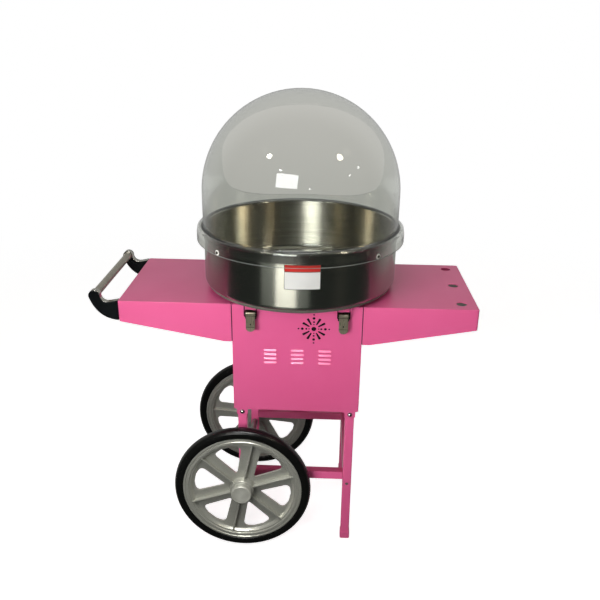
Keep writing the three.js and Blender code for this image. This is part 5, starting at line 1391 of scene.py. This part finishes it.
def makeFloor(size):
    focus(None)
    bpy.ops.mesh.primitive_plane_add(size=40, location=(0, 0, -0.001))
    floor = bpy.context.object
    floor.name = "floor"
    material, tree, shader = newMaterial("paleFloor", {
        "Roughness": 0.9, "Specular IOR Level": 0.0, "Emission Color": (1, 1, 1, 1)})
    place = addNode(tree, "ShaderNodeTexCoord", output="Object")
    broad = addNode(tree, "ShaderNodeTexNoise", {"Vector": place, "Scale": 1.5})
    ramp = addNode(tree, "ShaderNodeValToRGB", {"Fac": broad})
    for element, spot, tone in zip(ramp.node.color_ramp.elements, (0.35, 0.65), ("#F7F7F6", "#F3F3F2")):
        element.position, element.color = spot, colour(tone)
    reach = addNode(tree, "ShaderNodeVectorMath", {0: place}, "Value", operation="LENGTH")
    edge = addNode(tree, "ShaderNodeMapRange", {"Value": reach, "From Min": size[0], "From Max": size[1]},
                   interpolation_type="SMOOTHSTEP")
    glow = addNode(tree, "ShaderNodeMapRange", {"Value": edge, "To Min": 0.76, "To Max": 1.0})
    shade = addNode(tree, "ShaderNodeMix", {"Factor": edge, 6: ramp, 7: (0, 0, 0, 1)}, 2, data_type="RGBA")
    tree.links.new(shade, shader.inputs["Base Color"])
    tree.links.new(glow, shader.inputs["Emission Strength"])
    floor.data.materials.append(material)
    floor.visible_diffuse = floor.visible_glossy = floor.visible_transmission = False


# What the room shows: white to the camera, soft grey to diffuse light, and to gloss a dim front and a grey back
def makeRoom():
    world = bpy.data.worlds.new("studio")
    world.use_nodes = True
    bpy.context.scene.world = world
    tree = world.node_tree
    tree.nodes.clear()
    way = addNode(tree, "ShaderNodeSeparateXYZ", {0: addNode(tree, "ShaderNodeTexCoord")}).node.outputs
    path = addNode(tree, "ShaderNodeLightPath").node.outputs
    soft, parts = {"interpolation_type": "SMOOTHSTEP"}, {}
    for name, axis, low, high, settings in (
            ("behind", "Y", -0.1, 0.6, soft), ("rising", "Z", -0.02, 0.25, soft),
            ("horizon", "Z", -0.285, -0.245, soft), ("level", "Z", -0.3, 0.0, {})):
        inputs = {"Value": way[axis], "From Min": low, "From Max": high}
        parts[name] = addNode(tree, "ShaderNodeMapRange", inputs, **settings)
    for name, depth, limit in (("inside", "Transmission Depth", 0.5), ("deep", "Transmission Depth", 2.5),
                               ("gloss", "Glossy Depth", 0.5)):
        parts[name] = addNode(tree, "ShaderNodeMath", {0: path[depth], 1: limit}, operation="GREATER_THAN")
    parts["diffuse"], parts["camera"] = path["Is Diffuse Ray"], path["Is Camera Ray"]
    tree.links.new(parts["deep"], parts["rising"].node.inputs["To Max"])
    # Each tone goes from the first to the second as its factor rises, and may be one of those above it
    for name, factor, first, second in (
            ("beyond", "horizon", (0.34, 0.335, 0.32, 1), (0.68, 0.68, 0.66, 1)),
            ("outside", "inside", (0.39, 0.39, 0.38, 1), "beyond"),
            ("backdrop", "rising", "outside", (0.1, 0.098, 0.09, 1)),
            ("shown", "behind", (0.024, 0.028, 0.026, 1), "backdrop"),
            ("through", "level", (0.45, 0.45, 0.41, 1), (0.66, 0.635, 0.6, 1)),
            ("ambient", "diffuse", "through", (0.19, 0.185, 0.185, 1)),
            ("bounced", "gloss", "ambient", "shown"), ("final", "camera", "bounced", (1, 1, 1, 1))):
        inputs = {"Factor": parts[factor], 6: parts.get(first, first), 7: parts.get(second, second)}
        parts[name] = addNode(tree, "ShaderNodeMix", inputs, 2, data_type="RGBA")
    back = addNode(tree, "ShaderNodeBackground", {"Color": parts["final"], "Strength": 1.0})
    addNode(tree, "ShaderNodeOutputWorld", {"Surface": back})


makeFloor(floorEdge)
makeRoom()
for name, size in roomLamps.items():
    makeLamp(name, size)
for name, (turn, rise, span, power) in sparks.items():
    makeLamp(name, {"turn": turn, "rise": rise, "far": 2500, "size": span, "power": power, "lights": ["dome_shell"]})
for name, (piece, turn, rise, span, power, tint) in bands.items():
    makeLamp(name, {"turn": turn, "rise": rise, "far": 2400, "size": span, "power": power, "tint": tint,
                    "lights": [piece]})
for name, size in pieceLamps.items():
    makeLamp(name, size)
bpy.context.scene.view_settings.view_transform = "Standard"
print("studio made")
